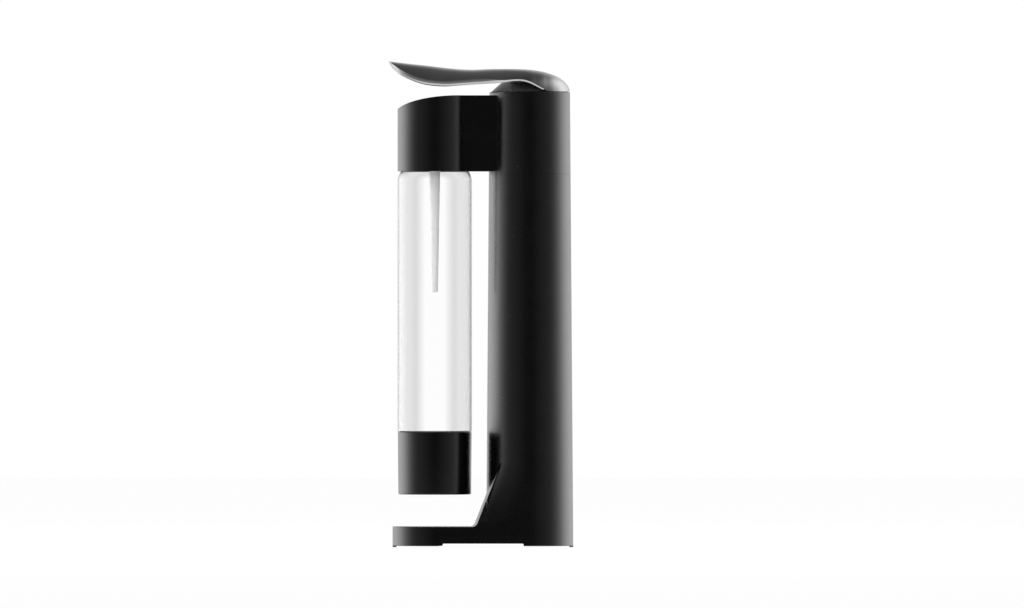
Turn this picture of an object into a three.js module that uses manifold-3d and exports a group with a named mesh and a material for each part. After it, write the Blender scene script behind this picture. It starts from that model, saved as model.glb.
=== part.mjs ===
// Countertop soda carbonator with a metal press lever. Millimetres, +Z up.
// The front of the machine faces -X. The origin is under the middle of the object's box, on the table.
import * as THREE from 'three';
import { mergeVertices } from 'three/addons/utils/BufferGeometryUtils.js';
import Module from 'manifold-3d';

const wasm = await Module();
wasm.setup();

// ---------------------------------------------------------------- driving dimensions

const GAP = 0.3;                    // air between neighbouring pieces
const WALL = 2.2;                   // moulded plastic wall

const COLUMN_X = 43.2;              // axis of the round column, and of the gas cylinder in it
const COLUMN_TOP = 402.7;
const COLUMN_TOP_RADIUS = 35.7;
const COLUMN_FOOT_RADIUS = 38.6;

const RIM_Z = 1.1;                  // lower edge of the housing, above the rubber feet
const BASE_TOP = 18.2;              // upper face of the base slab
const SEAM_Z = 330;                 // parting line between the lower and the upper housing
const BASE_RADIUS = 38.5;           // half the width of the slab, and its round front end
const BASE_FRONT_X = -39.8;         // centre of that round front end
const NOTCH = { from: -34, to: 38, z: 3.3 };
const FOOT_DEPTH = 3.5;             // how far the rubber crescents reach in from the rim

const FLARE_BOTTOM = 22.5;          // straight side of the slab turns into the round column from here
const FLARE_TOP = 75;               // ... to here
const FLARE_FRONT = { x: 4.2, z: 46, lean: 0.397 };
const FLARE_FILLET = 5;

const HEAD_X = -40.9;               // axis of the head, the bottle and the nozzle
const HEAD_RADIUS = 32.9;
const HEAD_BOTTOM = 332.5;
const HEAD_TOP = 399.7;
const HEAD_CROWN = { from: -18.5, run: 58.5, drop: 18 };
const NECK_HALF_WIDTH = 20.7;

const CAP_BASE_RADIUS = 34;
const CAP_TOP_RADIUS = 24.3;
const CAP_TOP = 411.6;

const PIVOT = { x: 60, z: 405.5 };  // lever axle
const PIN_RADIUS = 2;
const LEVER_TIP_X = -81.7;
const LEVER_REAR_X = 78.7;
const LEVER_THICKNESS = 3;
const LEVER_SEAT_Z = 403.1;         // lower edge of the lever where it sits over the column
const LEVER_REAR_RADIUS = 35.5;

const BOTTLE_RADIUS = 33;
const BOTTLE_WALL = 1.5;
const SHOULDER_TOP = 337.7;         // the shoulder reaches a little way into the head
const SHOULDER_RADIUS = 14;
const BOTTLE_NECK_RADIUS = BOTTLE_RADIUS - SHOULDER_RADIUS;
const BOTTLE_LIP = 354.7;
const CUP_BOTTOM = 46.5;
const CUP_TOP = 102;
const CUP_RADIUS = 32.75;
const NOZZLE_TIP = 225.5;

const GAS_CYLINDER_RADIUS = 30;
const GAS_LINE_Z = 384;

const LUG_ANGLES = [0, 120, 240];

// ---------------------------------------------------------------- shape helpers

const ROUND = 40;                   // flats around the large round pieces
const SMALL = 10;                   // flats around screws and small holes

const radians = THREE.MathUtils.degToRad;

// Turns any closed three.js geometry into a solid: welds it, drops empty faces and points its faces outwards.
function solid(geometry) {
  const plain = geometry.clone();
  plain.deleteAttribute('normal');
  plain.deleteAttribute('uv');
  const welded = mergeVertices(plain, 1e-4);
  const spots = welded.attributes.position;
  const corners = welded.index.array;
  const a = new THREE.Vector3();
  const b = new THREE.Vector3();
  const c = new THREE.Vector3();
  const faces = [];
  let volume = 0;
  for (let i = 0; i < corners.length; i += 3) {
    const [p, q, r] = [corners[i], corners[i + 1], corners[i + 2]];
    if (p === q || q === r || r === p) continue;
    faces.push([p, q, r]);
    a.fromBufferAttribute(spots, p);
    b.fromBufferAttribute(spots, q);
    c.fromBufferAttribute(spots, r);
    volume += a.dot(b.cross(c));
  }
  const order = volume < 0 ? ([p, q, r]) => [p, r, q] : (face) => face;
  return new wasm.Manifold(new wasm.Mesh({
    numProp: 3,
    vertProperties: Float32Array.from(spots.array),
    triVerts: Uint32Array.from(faces.flatMap(order)),
  }));
}

const join = (first, ...others) => others.reduce((whole, other) => whole.add(other), first);
const cut = (first, ...others) => others.reduce((whole, other) => whole.subtract(other), first);

// A profile of [radius, z] points turned about a vertical axis at (x, y).
function turned(profile, x = 0, y = 0, segments = 28) {
  const loop = profile[0][0] > 0 ? [...profile, profile[0]] : profile;
  const geometry = new THREE.LatheGeometry(loop.map(([r, z]) => new THREE.Vector2(r, z)), segments);
  geometry.rotateX(Math.PI / 2);
  geometry.translate(x, y, 0);
  return solid(geometry);
}

const disc = (radius, z0, z1, x = 0, y = 0, segments = 20) => turned(
  [[0, z0], [radius, z0], [radius, z1], [0, z1]], x, y, segments,
);
const ring = (inner, outer, z0, z1, x = 0, y = 0, segments = 28) => turned(
  [[inner, z0], [outer, z0], [outer, z1], [inner, z1]], x, y, segments,
);

function box(x0, x1, y0, y1, z0, z1) {
  const geometry = new THREE.BoxGeometry(x1 - x0, y1 - y0, z1 - z0);
  geometry.translate((x0 + x1) / 2, (y0 + y1) / 2, (z0 + z1) / 2);
  return solid(geometry);
}

// A plan outline of [x, y] points, drawn up from z0 to z1.
function prism(outline, z0, z1) {
  const shape = new THREE.Shape(outline.map(([x, y]) => new THREE.Vector2(x, y)));
  const geometry = new THREE.ExtrudeGeometry(shape, { depth: z1 - z0, bevelEnabled: false });
  geometry.translate(0, 0, z0);
  return solid(geometry);
}

// A side outline of [x, z] points, as wide as y0 to y1.
function slab(outline, y0, y1) {
  const shape = new THREE.Shape(outline.map(([x, z]) => new THREE.Vector2(x, z)));
  const geometry = new THREE.ExtrudeGeometry(shape, { depth: y1 - y0, bevelEnabled: false });
  geometry.rotateX(Math.PI / 2);
  geometry.translate(0, y1, 0);
  return solid(geometry);
}

// Round bars along X and along Y.
function barX(radius, x0, x1, y, z, segments = 20) {
  const geometry = new THREE.CylinderGeometry(radius, radius, x1 - x0, segments);
  geometry.rotateZ(Math.PI / 2);
  geometry.translate((x0 + x1) / 2, y, z);
  return solid(geometry);
}
function barY(radius, y0, y1, x, z, segments = 20) {
  const geometry = new THREE.CylinderGeometry(radius, radius, y1 - y0, segments);
  geometry.translate(x, (y0 + y1) / 2, z);
  return solid(geometry);
}

const polar = (radius, degrees) => [radius * Math.cos(radians(degrees)), radius * Math.sin(radians(degrees))];

// A piece of a flat ring between two angles, about (x, 0).
function sector(inner, outer, from, to, z0, z1, x, steps = 6) {
  const angles = Array.from({ length: steps + 1 }, (_, i) => from + ((to - from) * i) / steps);
  const outside = angles.map((angle) => polar(outer, angle));
  const inside = angles.map((angle) => polar(inner, angle)).reverse();
  return prism([...outside, ...inside].map(([px, py]) => [x + px, py]), z0, z1);
}

// A round wire or tube along a curve.
function tube(curve, radius, steps, sides = 8) {
  const section = new THREE.Shape(
    Array.from({ length: sides }, (_, i) => new THREE.Vector2(...polar(radius, (360 * i) / sides))),
  );
  return solid(new THREE.ExtrudeGeometry(section, { steps, extrudePath: curve, bevelEnabled: false }));
}

class Helix extends THREE.Curve {
  constructor(x, y, z0, z1, radius, turns) {
    super();
    Object.assign(this, { x, y, z0, z1, radius, turns });
  }

  getPoint(t, target = new THREE.Vector3()) {
    const [dx, dy] = polar(this.radius, 360 * this.turns * t);
    return target.set(this.x + dx, this.y + dy, this.z0 + (this.z1 - this.z0) * t);
  }
}

// A smooth curve through [x, value] points, as a function of x.
function smooth(points) {
  const slope = (i) => {
    const [x0, v0] = points[Math.max(0, i - 1)];
    const [x1, v1] = points[Math.min(points.length - 1, i + 1)];
    return (v1 - v0) / (x1 - x0);
  };
  return (x) => {
    const next = points.findIndex(([px]) => px >= x);
    const i = Math.max(0, (next < 0 ? points.length : next) - 1);
    const k = Math.min(i, points.length - 2);
    const [x0, v0] = points[k];
    const [x1, v1] = points[k + 1];
    const t = THREE.MathUtils.clamp((x - x0) / (x1 - x0), 0, 1);
    const span = x1 - x0;
    const late = t * t * (3 - 2 * t);
    return v0 * (1 - late) + v1 * late
      + slope(k) * span * t * (1 - t) ** 2 - slope(k + 1) * span * t * t * (1 - t);
  };
}

// ---------------------------------------------------------------- the assembly

const carbonator = new THREE.Group();

function add(name, shape, finish) {
  const mesh = shape.getMesh();
  const geometry = new THREE.BufferGeometry();
  geometry.setAttribute('position', new THREE.BufferAttribute(Float32Array.from(mesh.vertProperties), 3));
  geometry.setIndex(new THREE.BufferAttribute(Uint32Array.from(mesh.triVerts), 1));
  geometry.computeVertexNormals();
  const material = new THREE.MeshStandardMaterial({ ...finish, name });
  const part = new THREE.Mesh(geometry, material);
  part.name = name;
  carbonator.add(part);
}

const FINISH = {
  satinBlack: { color: 0x0b0b0c, roughness: 0.32, metalness: 0 },
  glossBlack: { color: 0x080809, roughness: 0.14, metalness: 0 },
  innerBlack: { color: 0x151516, roughness: 0.55, metalness: 0 },
  whitePlastic: { color: 0xd8dad8, roughness: 0.4, metalness: 0 },
  clear: { color: 0xf4f8f8, roughness: 0.05, metalness: 0, transparent: true, opacity: 0.35 },
  frosted: { color: 0xd4d7d7, roughness: 0.35, metalness: 0, transparent: true, opacity: 0.8 },
  leverMetal: { color: 0x8c8d8f, roughness: 0.24, metalness: 1 },
  steel: { color: 0xb4b6b8, roughness: 0.3, metalness: 1 },
  brass: { color: 0xc2a45a, roughness: 0.3, metalness: 1 },
  rubber: { color: 0x1c1c1c, roughness: 0.85, metalness: 0 },
  gasPaint: { color: 0x9aa4ac, roughness: 0.4, metalness: 0.4 },
};

// A pan-head screw along Z, its shank on the far side of the seat from its head.
function screwSolid(x, y, seat, { head = 3, headHeight = 1.9, shank = 1.5, length = 9, up = false } = {}) {
  const way = up ? 1 : -1;
  const crown = seat - way * headHeight;
  const span = (from, to) => [Math.min(from, to), Math.max(from, to)];
  const body = join(
    disc(head, ...span(seat, crown), x, y, SMALL),
    disc(shank, ...span(seat - way * 0.5, seat + way * length), x, y, SMALL),
  );
  return cut(body, box(x - 1.8, x + 1.8, y - 0.4, y + 0.4, crown - 0.9, crown + 0.9));
}
const screw = (name, x, y, seat, options) => add(name, screwSolid(x, y, seat, options), FINISH.steel);

// ---------------------------------------------------------------- housing

function columnRadius(z) {
  const t = (z - RIM_Z) / (COLUMN_TOP - RIM_Z);
  return THREE.MathUtils.lerp(COLUMN_FOOT_RADIUS, COLUMN_TOP_RADIUS, t);
}

const column = (inset, z0, z1) => turned(
  [[0, z0], [columnRadius(z0) - inset, z0], [columnRadius(z1) - inset, z1], [0, z1]], COLUMN_X, 0, 48,
);

// The slab's plan: a round front end and straight sides that run under the column.
function slabPlan(inset) {
  const radius = BASE_RADIUS - inset;
  const front = Array.from({ length: 19 }, (_, i) => {
    const [dx, dy] = polar(radius, 90 + 10 * i);
    return [BASE_FRONT_X + dx, dy];
  });
  return [[COLUMN_X, radius], ...front, [COLUMN_X, -radius]];
}

// Front edge of the flare at height z: a leaning flat with a hollow fillet where it lands on the slab.
function flareFrontX(z) {
  const { x, z: height, lean } = FLARE_FRONT;
  const landing = x + (BASE_TOP - height) * lean;
  const tilt = Math.atan2(1, lean);
  const reach = FLARE_FILLET * Math.tan(tilt / 2);
  const start = landing - reach;
  const rise = BASE_TOP + FLARE_FILLET - z;
  if (z < BASE_TOP + reach * Math.sin(tilt) && rise > 0) {
    return start + Math.sqrt(Math.max(0, FLARE_FILLET ** 2 - rise ** 2));
  }
  return x + (z - height) * lean;
}

// Half the flare's width: straight like the slab at its foot, round like the column at its top.
function flareHalfWidth(x, z) {
  const radius = columnRadius(z);
  const t = THREE.MathUtils.clamp((z - FLARE_BOTTOM) / (FLARE_TOP - FLARE_BOTTOM), 0, 1);
  const round = Math.sqrt(Math.max(0, radius ** 2 - (COLUMN_X - x) ** 2));
  return (1 - t) * radius + t * round;
}

// The flare as a stack of plan outlines, each from its front edge to the column's axis. Its stations across
// sit at the same angles as the column's flats, so that it runs into the column without a step.
function flare(inset, z0) {
  const levels = inset > 0
    ? [z0, FLARE_BOTTOM, 36, 50, 63, FLARE_TOP - inset]
    : [z0, BASE_TOP + 0.8, 21.2, FLARE_BOTTOM, 30, 39, 48, 57, 66, FLARE_TOP];
  const quarter = ROUND / 4;
  const columns = quarter + 1;
  const spots = [];
  for (const z of levels) {
    const front = flareFrontX(Math.max(z, BASE_TOP)) + inset * 1.08;
    const stations = [front];
    for (let i = quarter; i >= 0; i -= 1) {
      const onColumn = COLUMN_X - (columnRadius(z) - inset) * Math.sin((i * Math.PI) / 2 / quarter);
      stations.push(Math.max(front, onColumn));
    }
    for (const side of [-1, 1]) {
      for (const x of stations) spots.push(x, side * (flareHalfWidth(x, z) - inset), z);
    }
  }
  const perLevel = 2 * (columns + 1);
  const at = (level, side, i) => level * perLevel + side * (columns + 1) + i;
  const faces = [];
  const quad = (a, b, c, d) => faces.push(a, b, c, a, c, d);
  const top = levels.length - 1;
  for (let level = 0; level < top; level += 1) {
    for (let i = 0; i < columns; i += 1) {
      quad(at(level, 0, i), at(level, 0, i + 1), at(level + 1, 0, i + 1), at(level + 1, 0, i));
      quad(at(level, 1, i + 1), at(level, 1, i), at(level + 1, 1, i), at(level + 1, 1, i + 1));
    }
    quad(at(level, 1, 0), at(level, 0, 0), at(level + 1, 0, 0), at(level + 1, 1, 0));
    quad(at(level, 0, columns), at(level, 1, columns), at(level + 1, 1, columns), at(level + 1, 0, columns));
  }
  for (let i = 0; i < columns; i += 1) {
    quad(at(0, 0, i), at(0, 1, i), at(0, 1, i + 1), at(0, 0, i + 1));
    quad(at(top, 0, i), at(top, 0, i + 1), at(top, 1, i + 1), at(top, 1, i));
  }
  const geometry = new THREE.BufferGeometry();
  geometry.setAttribute('position', new THREE.BufferAttribute(Float32Array.from(spots), 3));
  geometry.setIndex(faces);
  return solid(geometry);
}

const BASE_POSTS = [[-60, 17], [-60, -17], [-14, 29], [-14, -29]];
const BRACKET_POST_ANGLES = [0, 115, -115];
const BRACKET_Z = 392.3;            // underside of the bracket that carries the valve block
const bracketPosts = BRACKET_POST_ANGLES.map((angle) => {
  const [dx, dy] = polar(30.6, angle);
  return [COLUMN_X + dx, dy];
});

function makeLowerHousing() {
  const outside = join(column(0, RIM_Z, SEAM_Z), prism(slabPlan(0), RIM_Z, BASE_TOP), flare(0, BASE_TOP - 2));
  const inside = join(
    column(WALL, -1, SEAM_Z + 1),
    prism(slabPlan(WALL), -1, BASE_TOP - WALL),
    flare(WALL, BASE_TOP - WALL - 2),
  );
  const notch = box(NOTCH.from, NOTCH.to, -50, 50, -1, NOTCH.z);
  const posts = BASE_POSTS.map(([x, y]) => disc(4, 8.6, BASE_TOP - WALL + 0.5, x, y, SMALL));
  const pilots = BASE_POSTS.map(([x, y]) => disc(1.8, 8, 15.2, x, y, SMALL));
  const footLand = (x0, x1) => box(x0, x1, -16.5, 16.5, RIM_Z, NOTCH.z).intersect(outside);
  const shell = join(
    cut(outside, inside, notch),
    ...posts,
    footLand(BASE_FRONT_X - BASE_RADIUS - 1, BASE_FRONT_X - BASE_RADIUS + FOOT_DEPTH),
    footLand(COLUMN_X + COLUMN_FOOT_RADIUS - FOOT_DEPTH, COLUMN_X + COLUMN_FOOT_RADIUS + 1),
  );
  add('main_housing', cut(shell, ...pilots), FINISH.satinBlack);
}

// The upper housing plugs into the lower one with a spigot, and the head grows out of its window.
function makeUpperHousing() {
  const bottom = SEAM_Z + GAP;
  const outside = column(0, bottom, COLUMN_TOP);
  const inside = column(WALL, bottom - 1, COLUMN_TOP + 1);
  const neckWindow = box(-5, 22, -17, 17, 338, 396);
  const spigot = {
    inner: columnRadius(SEAM_Z) - WALL - 1.9,
    outer: columnRadius(SEAM_Z) - WALL - 0.4,
    length: 7,
    root: 2.5,
  };
  const plug = join(
    ring(spigot.inner, spigot.outer, SEAM_Z - spigot.length, bottom + spigot.root, COLUMN_X, 0, 48),
    ring(spigot.inner, spigot.outer + 1.6, bottom, bottom + spigot.root, COLUMN_X, 0, 48),
  );
  const posts = bracketPosts.map(([x, y]) => disc(3.7, 372, BRACKET_Z - GAP, x, y, SMALL));
  const pilots = bracketPosts.map(([x, y]) => disc(1.8, 380, BRACKET_Z + 1, x, y, SMALL));
  const shell = join(cut(outside, inside, neckWindow), plug, ...posts);
  add('upper_housing', cut(shell, ...pilots), FINISH.satinBlack);
}

function makeFeet() {
  const footprint = join(prism(slabPlan(0), 0, RIM_Z), disc(COLUMN_FOOT_RADIUS, 0, RIM_Z, COLUMN_X, 0, ROUND));
  const frontFoot = box(-90, BASE_FRONT_X - BASE_RADIUS + FOOT_DEPTH, -30, 30, 0, RIM_Z);
  const rearFoot = box(COLUMN_X + COLUMN_FOOT_RADIUS - FOOT_DEPTH, 90, -30, 30, 0, RIM_Z);
  add('front_foot', footprint.intersect(frontFoot), FINISH.rubber);
  add('rear_foot', footprint.intersect(rearFoot), FINISH.rubber);
}

// ---------------------------------------------------------------- underside: plate, hatch, pad

const HATCH_RADIUS = 31.4;
const PLATE = { bottom: 3.3, top: 5.3 };

function makeUnderside() {
  const margin = WALL + GAP;
  const blank = join(
    prism(slabPlan(margin), PLATE.bottom, PLATE.top),
    disc(COLUMN_FOOT_RADIUS - margin, PLATE.bottom, PLATE.top, COLUMN_X, 0, ROUND),
    ...BASE_POSTS.map(([x, y]) => disc(5, PLATE.bottom, 8.3, x, y, 12)),
  );
  const trimmed = cut(
    blank,
    box(-90, BASE_FRONT_X - BASE_RADIUS + FOOT_DEPTH + GAP, -40, 40, 0, 9),
    box(COLUMN_X + COLUMN_FOOT_RADIUS - FOOT_DEPTH - GAP, 90, -40, 40, 0, 9),
  );
  const bayonetNotches = LUG_ANGLES.map((angle) => sector(20, 34.4, angle + 40, angle + 80, 3, 6, COLUMN_X));
  const screwWells = BASE_POSTS.flatMap(([x, y]) => [
    disc(3.4, 3, 6.3, x, y, SMALL),
    disc(1.8, 6, 9, x, y, SMALL),
  ]);
  add('bottom_plate', cut(
    trimmed,
    disc(HATCH_RADIUS + 0.4, 3, 6, COLUMN_X, 0, ROUND),
    ...bayonetNotches,
    ...screwWells,
  ), FINISH.innerBlack);
  BASE_POSTS.forEach(([x, y], i) => screw(`base_screw_${i + 1}`, x, y, 6.3, { length: 8, up: true }));

  const grip = cut(disc(22, 3, 6.4, COLUMN_X, 0, 32), box(COLUMN_X - 5, COLUMN_X + 5, -30, 30, 2, 7));
  const lugs = LUG_ANGLES.map((angle) => sector(25, 34, angle - 17, angle + 17, 5.6, 8, COLUMN_X));
  add('cylinder_hatch', cut(
    join(disc(HATCH_RADIUS, PLATE.bottom, 8, COLUMN_X, 0, ROUND), ...lugs),
    grip,
  ), FINISH.innerBlack);
  add('hatch_pad', disc(24, 8, 10, COLUMN_X, 0, 32), FINISH.rubber);
}

// ---------------------------------------------------------------- gas cylinder and valve

const FRAME_SCREWS_Y = [-8, 8];
const FRAME_SCREW_Z = 368;

function makeGasSupply() {
  const guideRadius = columnRadius(68) - WALL - GAP;
  add('cylinder_guide', ring(GAS_CYLINDER_RADIUS + 0.6, guideRadius, 60, 68, COLUMN_X), FINISH.innerBlack);

  const outer = [
    [0, 10.3], [22, 10.3], [27.7, 12.6], [GAS_CYLINDER_RADIUS, 18.3], [GAS_CYLINDER_RADIUS, 304],
    [28.6, 314], [24.8, 323], [19.5, 330], [15, 335], [13.5, 339], [13.5, 346], [8.4, 346],
  ];
  const bore = [
    [8.4, 336], [16, 328], [22, 320], [26, 310], [27.4, 300], [27.4, 20], [25, 14.6], [20, 13.2], [0, 13.2],
  ];
  add('co2_cylinder', turned([...outer, ...bore], COLUMN_X, 0, 24), FINISH.gasPaint);
  add('cylinder_valve', turned([
    [1.5, 337], [8.1, 337], [8.1, 346.3], [12.4, 346.3], [12.4, 351], [10.5, 352], [10.5, 373], [9.6, 374],
    [3, 374], [3, 368], [1.5, 368],
  ], COLUMN_X, 0, 24), FINISH.brass);
  const pin = [[0, 352], [1.2, 352], [1.2, 370.6], [0.8, 371], [0, 371]];
  add('valve_pin', turned(pin, COLUMN_X, 0, 12), FINISH.steel);

  const block = turned([
    [11.2, 353], [17, 353], [17, 392], [5.5, 392], [5.5, 389], [3.4, 389], [3.4, 387], [5.5, 387], [5.5, 381.5],
    [2.4, 381.5], [2.4, 376.3], [11.2, 376.3],
  ], COLUMN_X, 0, 20);
  const padX = 21;
  const pad = cut(box(padX, COLUMN_X - 12, -12, 12, 356, 392), disc(15, 350, 395, COLUMN_X));
  const frameHoles = FRAME_SCREWS_Y.map((y) => barX(1.7, padX - 1, padX + 7, y, FRAME_SCREW_Z, SMALL));
  add('valve_block', cut(
    join(block, pad),
    barX(1.6, padX - 1, COLUMN_X - 4, 0, GAS_LINE_Z, SMALL),
    barX(3.2, padX - 1, padX + 5, 0, GAS_LINE_Z, 16),
    ...frameHoles,
    ...[-1, 1].map((side) => disc(1.3, 384, 393, COLUMN_X, side * 12, SMALL)),
  ), FINISH.brass);
  add('valve_seal', ring(3, 10.6, 374.3, 376, COLUMN_X, 0, 24), FINISH.rubber);

  const standoffs = [-1, 1].map((side) => disc(3.6, BRACKET_Z, 403.6, COLUMN_X, side * 19, SMALL));
  const blankPlate = join(disc(33, BRACKET_Z, BRACKET_Z + 2, COLUMN_X, 0, 40), ...standoffs);
  add('valve_bracket', cut(
    blankPlate,
    disc(5.2, 390, 396, COLUMN_X, 0, 20),
    ...bracketPosts.map(([x, y]) => disc(1.9, 390, 396, x, y, SMALL)),
    ...[-1, 1].map((side) => disc(1.5, 390, 396, COLUMN_X, side * 12, SMALL)),
    ...[-1, 1].map((side) => disc(1.8, 396, 405, COLUMN_X, side * 19, SMALL)),
    box(5, 24, -40, 40, 390, 396),
  ), FINISH.steel);
  bracketPosts.forEach(([x, y], i) => screw(
    `bracket_screw_${i + 1}`, x, y, BRACKET_Z + 2, { length: 11, head: 2.8 },
  ));
}

// ---------------------------------------------------------------- press rod, cap and lever

const ROD_TOP = 413.4;

function makePress() {
  add('press_rod', turned([
    [0, 371.3], [1.5, 371.3], [1.5, 384], [3, 384], [3, 403.2], [6, 403.2], [6, 405], [3, 405], [3, 412.4],
    [2.2, 413.1], [0, ROD_TOP],
  ], COLUMN_X, 0, 20), FINISH.whitePlastic);
  const oRing = new THREE.TorusGeometry(4.3, 0.95, 6, 16);
  oRing.translate(COLUMN_X, 0, 390.3);
  add('rod_o_ring', solid(oRing), FINISH.rubber);
  add('rod_spring', tube(new Helix(COLUMN_X, 0, 393.1, 402.4, 4.4, 3.5), 0.5, 42, 5), FINISH.steel);

  const outside = turned([
    [0, COLUMN_TOP], [CAP_BASE_RADIUS, COLUMN_TOP], [CAP_TOP_RADIUS, CAP_TOP], [0, CAP_TOP],
  ], COLUMN_X, 0, ROUND);
  const skirt = ring(31, 33.1, 397, COLUMN_TOP + 1, COLUMN_X, 0, ROUND);
  const inside = turned([
    [0, COLUMN_TOP - 1], [32.5, COLUMN_TOP - 1], [23.4, CAP_TOP - WALL], [0, CAP_TOP - WALL],
  ], COLUMN_X, 0, ROUND);
  const bearings = [-1, 1].map((side) => box(
    55.5, 64.5, Math.min(side * 10.5, side * 16), Math.max(side * 10.5, side * 16), 400, CAP_TOP - 1,
  ));
  const wells = [-1, 1].map((side) => disc(5, 404.2, CAP_TOP - 1, COLUMN_X, side * 19, 12));
  const rearRelief = cut(
    ring(31.6, 40, COLUMN_TOP, CAP_TOP + 1, COLUMN_X, 0, ROUND),
    box(0, COLUMN_X + 4, -50, 50, 400, 415),
  );
  add('top_cap', cut(
    join(cut(join(outside, skirt), inside), ...bearings, ...wells),
    rearRelief,
    box(53.2, 66.8, -9.9, 9.9, 401, 413),
    disc(3.4, 400, 413, COLUMN_X, 0, 20),
    barY(PIN_RADIUS + GAP, -17, 17, PIVOT.x, PIVOT.z),
    ...[-1, 1].flatMap((side) => [
      disc(3.5, 406.4, 413, COLUMN_X, side * 19, SMALL),
      disc(1.8, 400, 413, COLUMN_X, side * 19, SMALL),
    ]),
  ), FINISH.glossBlack);
  [-1, 1].forEach((side, i) => screw(`cap_screw_${i + 1}`, COLUMN_X, side * 19, 406.4, { length: 8.5 }));
  add('lever_pin', barY(PIN_RADIUS, -16, 16, PIVOT.x, PIVOT.z), FINISH.steel);

  const hub = slab([
    [36, 414.4], [41.2, 413.9], [45.2, 413.7], [52, 413], [55.5, 412.4], [55.5, 404], [57, 401.8], [60, 400.9],
    [63, 401.8], [64.5, 404], [64.5, 411.6], [57, 414.3], [50, 416.1], [36, 417.3],
  ], -9.3, 9.3);
  add('lever_hub', cut(hub, barY(PIN_RADIUS + GAP, -17, 17, PIVOT.x, PIVOT.z)), FINISH.innerBlack);
}

const crownSpline = smooth([
  [LEVER_TIP_X, 430], [-62.8, 427.7], [-45.1, 425.8], [-27.4, 423.7], [-9.6, 422.5], [8.1, 423.1], [20, 423.2],
]);
const REAR_CROWN = { from: 20, rise: 20.1, along: 3, down: 0.559 };

// Height of the lever's ridge.
function leverCrown(x) {
  if (x < REAR_CROWN.from) return crownSpline(x);
  const u = Math.min(1, (x - REAR_CROWN.from) / (LEVER_REAR_X + 0.1 - REAR_CROWN.from));
  return LEVER_SEAT_Z + REAR_CROWN.rise * (1 - u ** REAR_CROWN.along) ** REAR_CROWN.down;
}

// Lowest line of the lever's rim, seen from the side.
const leverRim = smooth([
  [LEVER_TIP_X, 427.2], [-79.6, 424.1], [-76, 421.3], [-71.6, 418.2], [-62.8, 413.8], [-53.9, 410.6],
  [-45.1, 408.8], [-31.8, 407.9], [-18.5, 408.6], [-0.8, 409.9], [16.9, 410.8], [31, 411.9], [37.5, 411.6],
  [43.5, 409.9], [52.3, 405.3], [56.3, 403.6], [66, LEVER_SEAT_Z], [LEVER_REAR_X, LEVER_SEAT_Z],
]);

const LEVER_BLADE = { length: 45.5, halfWidth: 32 };
const leverWaist = smooth([
  [LEVER_TIP_X + LEVER_BLADE.length, LEVER_BLADE.halfWidth], [-18, 30.8], [0, 29.6], [17, 30.1], [30, 32.2],
  [38, 34.3], [46, 35.39], [52, 34.39],
]);

// Half the lever's width in plan: an elliptical blade end, a slight waist, and the column's own circle behind.
function leverHalfWidth(x) {
  const blade = (x - LEVER_TIP_X) / LEVER_BLADE.length;
  if (blade < 1) return LEVER_BLADE.halfWidth * Math.sqrt(Math.max(0, 1 - (1 - blade) ** 2));
  if (x < 46) return leverWaist(x);
  return Math.sqrt(Math.max(0, LEVER_REAR_RADIUS ** 2 - (x - COLUMN_X) ** 2));
}

// A point on the lever's outer surface: x along it, s from -1 to 1 across it.
function leverPoint(x, s) {
  const hood = THREE.MathUtils.smoothstep(x, 25, 66);
  const across = Math.abs(Math.sin((s * Math.PI) / 2));
  const roundness = THREE.MathUtils.lerp(2.4, 2.2, hood);
  const wallness = THREE.MathUtils.lerp(1, 1.9, hood);
  const rimRise = 2.15 * (1 - THREE.MathUtils.smoothstep(x, 30, 54));
  const edge = Math.min(leverRim(x) + rimRise, leverCrown(x));
  const arch = Math.max(0, 1 - across ** roundness) ** (1 / wallness);
  const y = leverHalfWidth(x) * Math.sin((s * Math.PI) / 2);
  return new THREE.Vector3(x, y, edge + (leverCrown(x) - edge) * arch);
}

function leverNormal(x, s) {
  const step = 0.05;
  const x0 = Math.max(LEVER_TIP_X + 0.05, x - step);
  const x1 = Math.min(LEVER_REAR_X - 0.02, x + step);
  const s0 = Math.max(-1, s - 0.01);
  const s1 = Math.min(1, s + 0.01);
  const along = leverPoint(x1, s).sub(leverPoint(x0, s));
  const over = leverPoint(x, s1).sub(leverPoint(x, s0));
  return along.cross(over).normalize();
}

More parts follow.
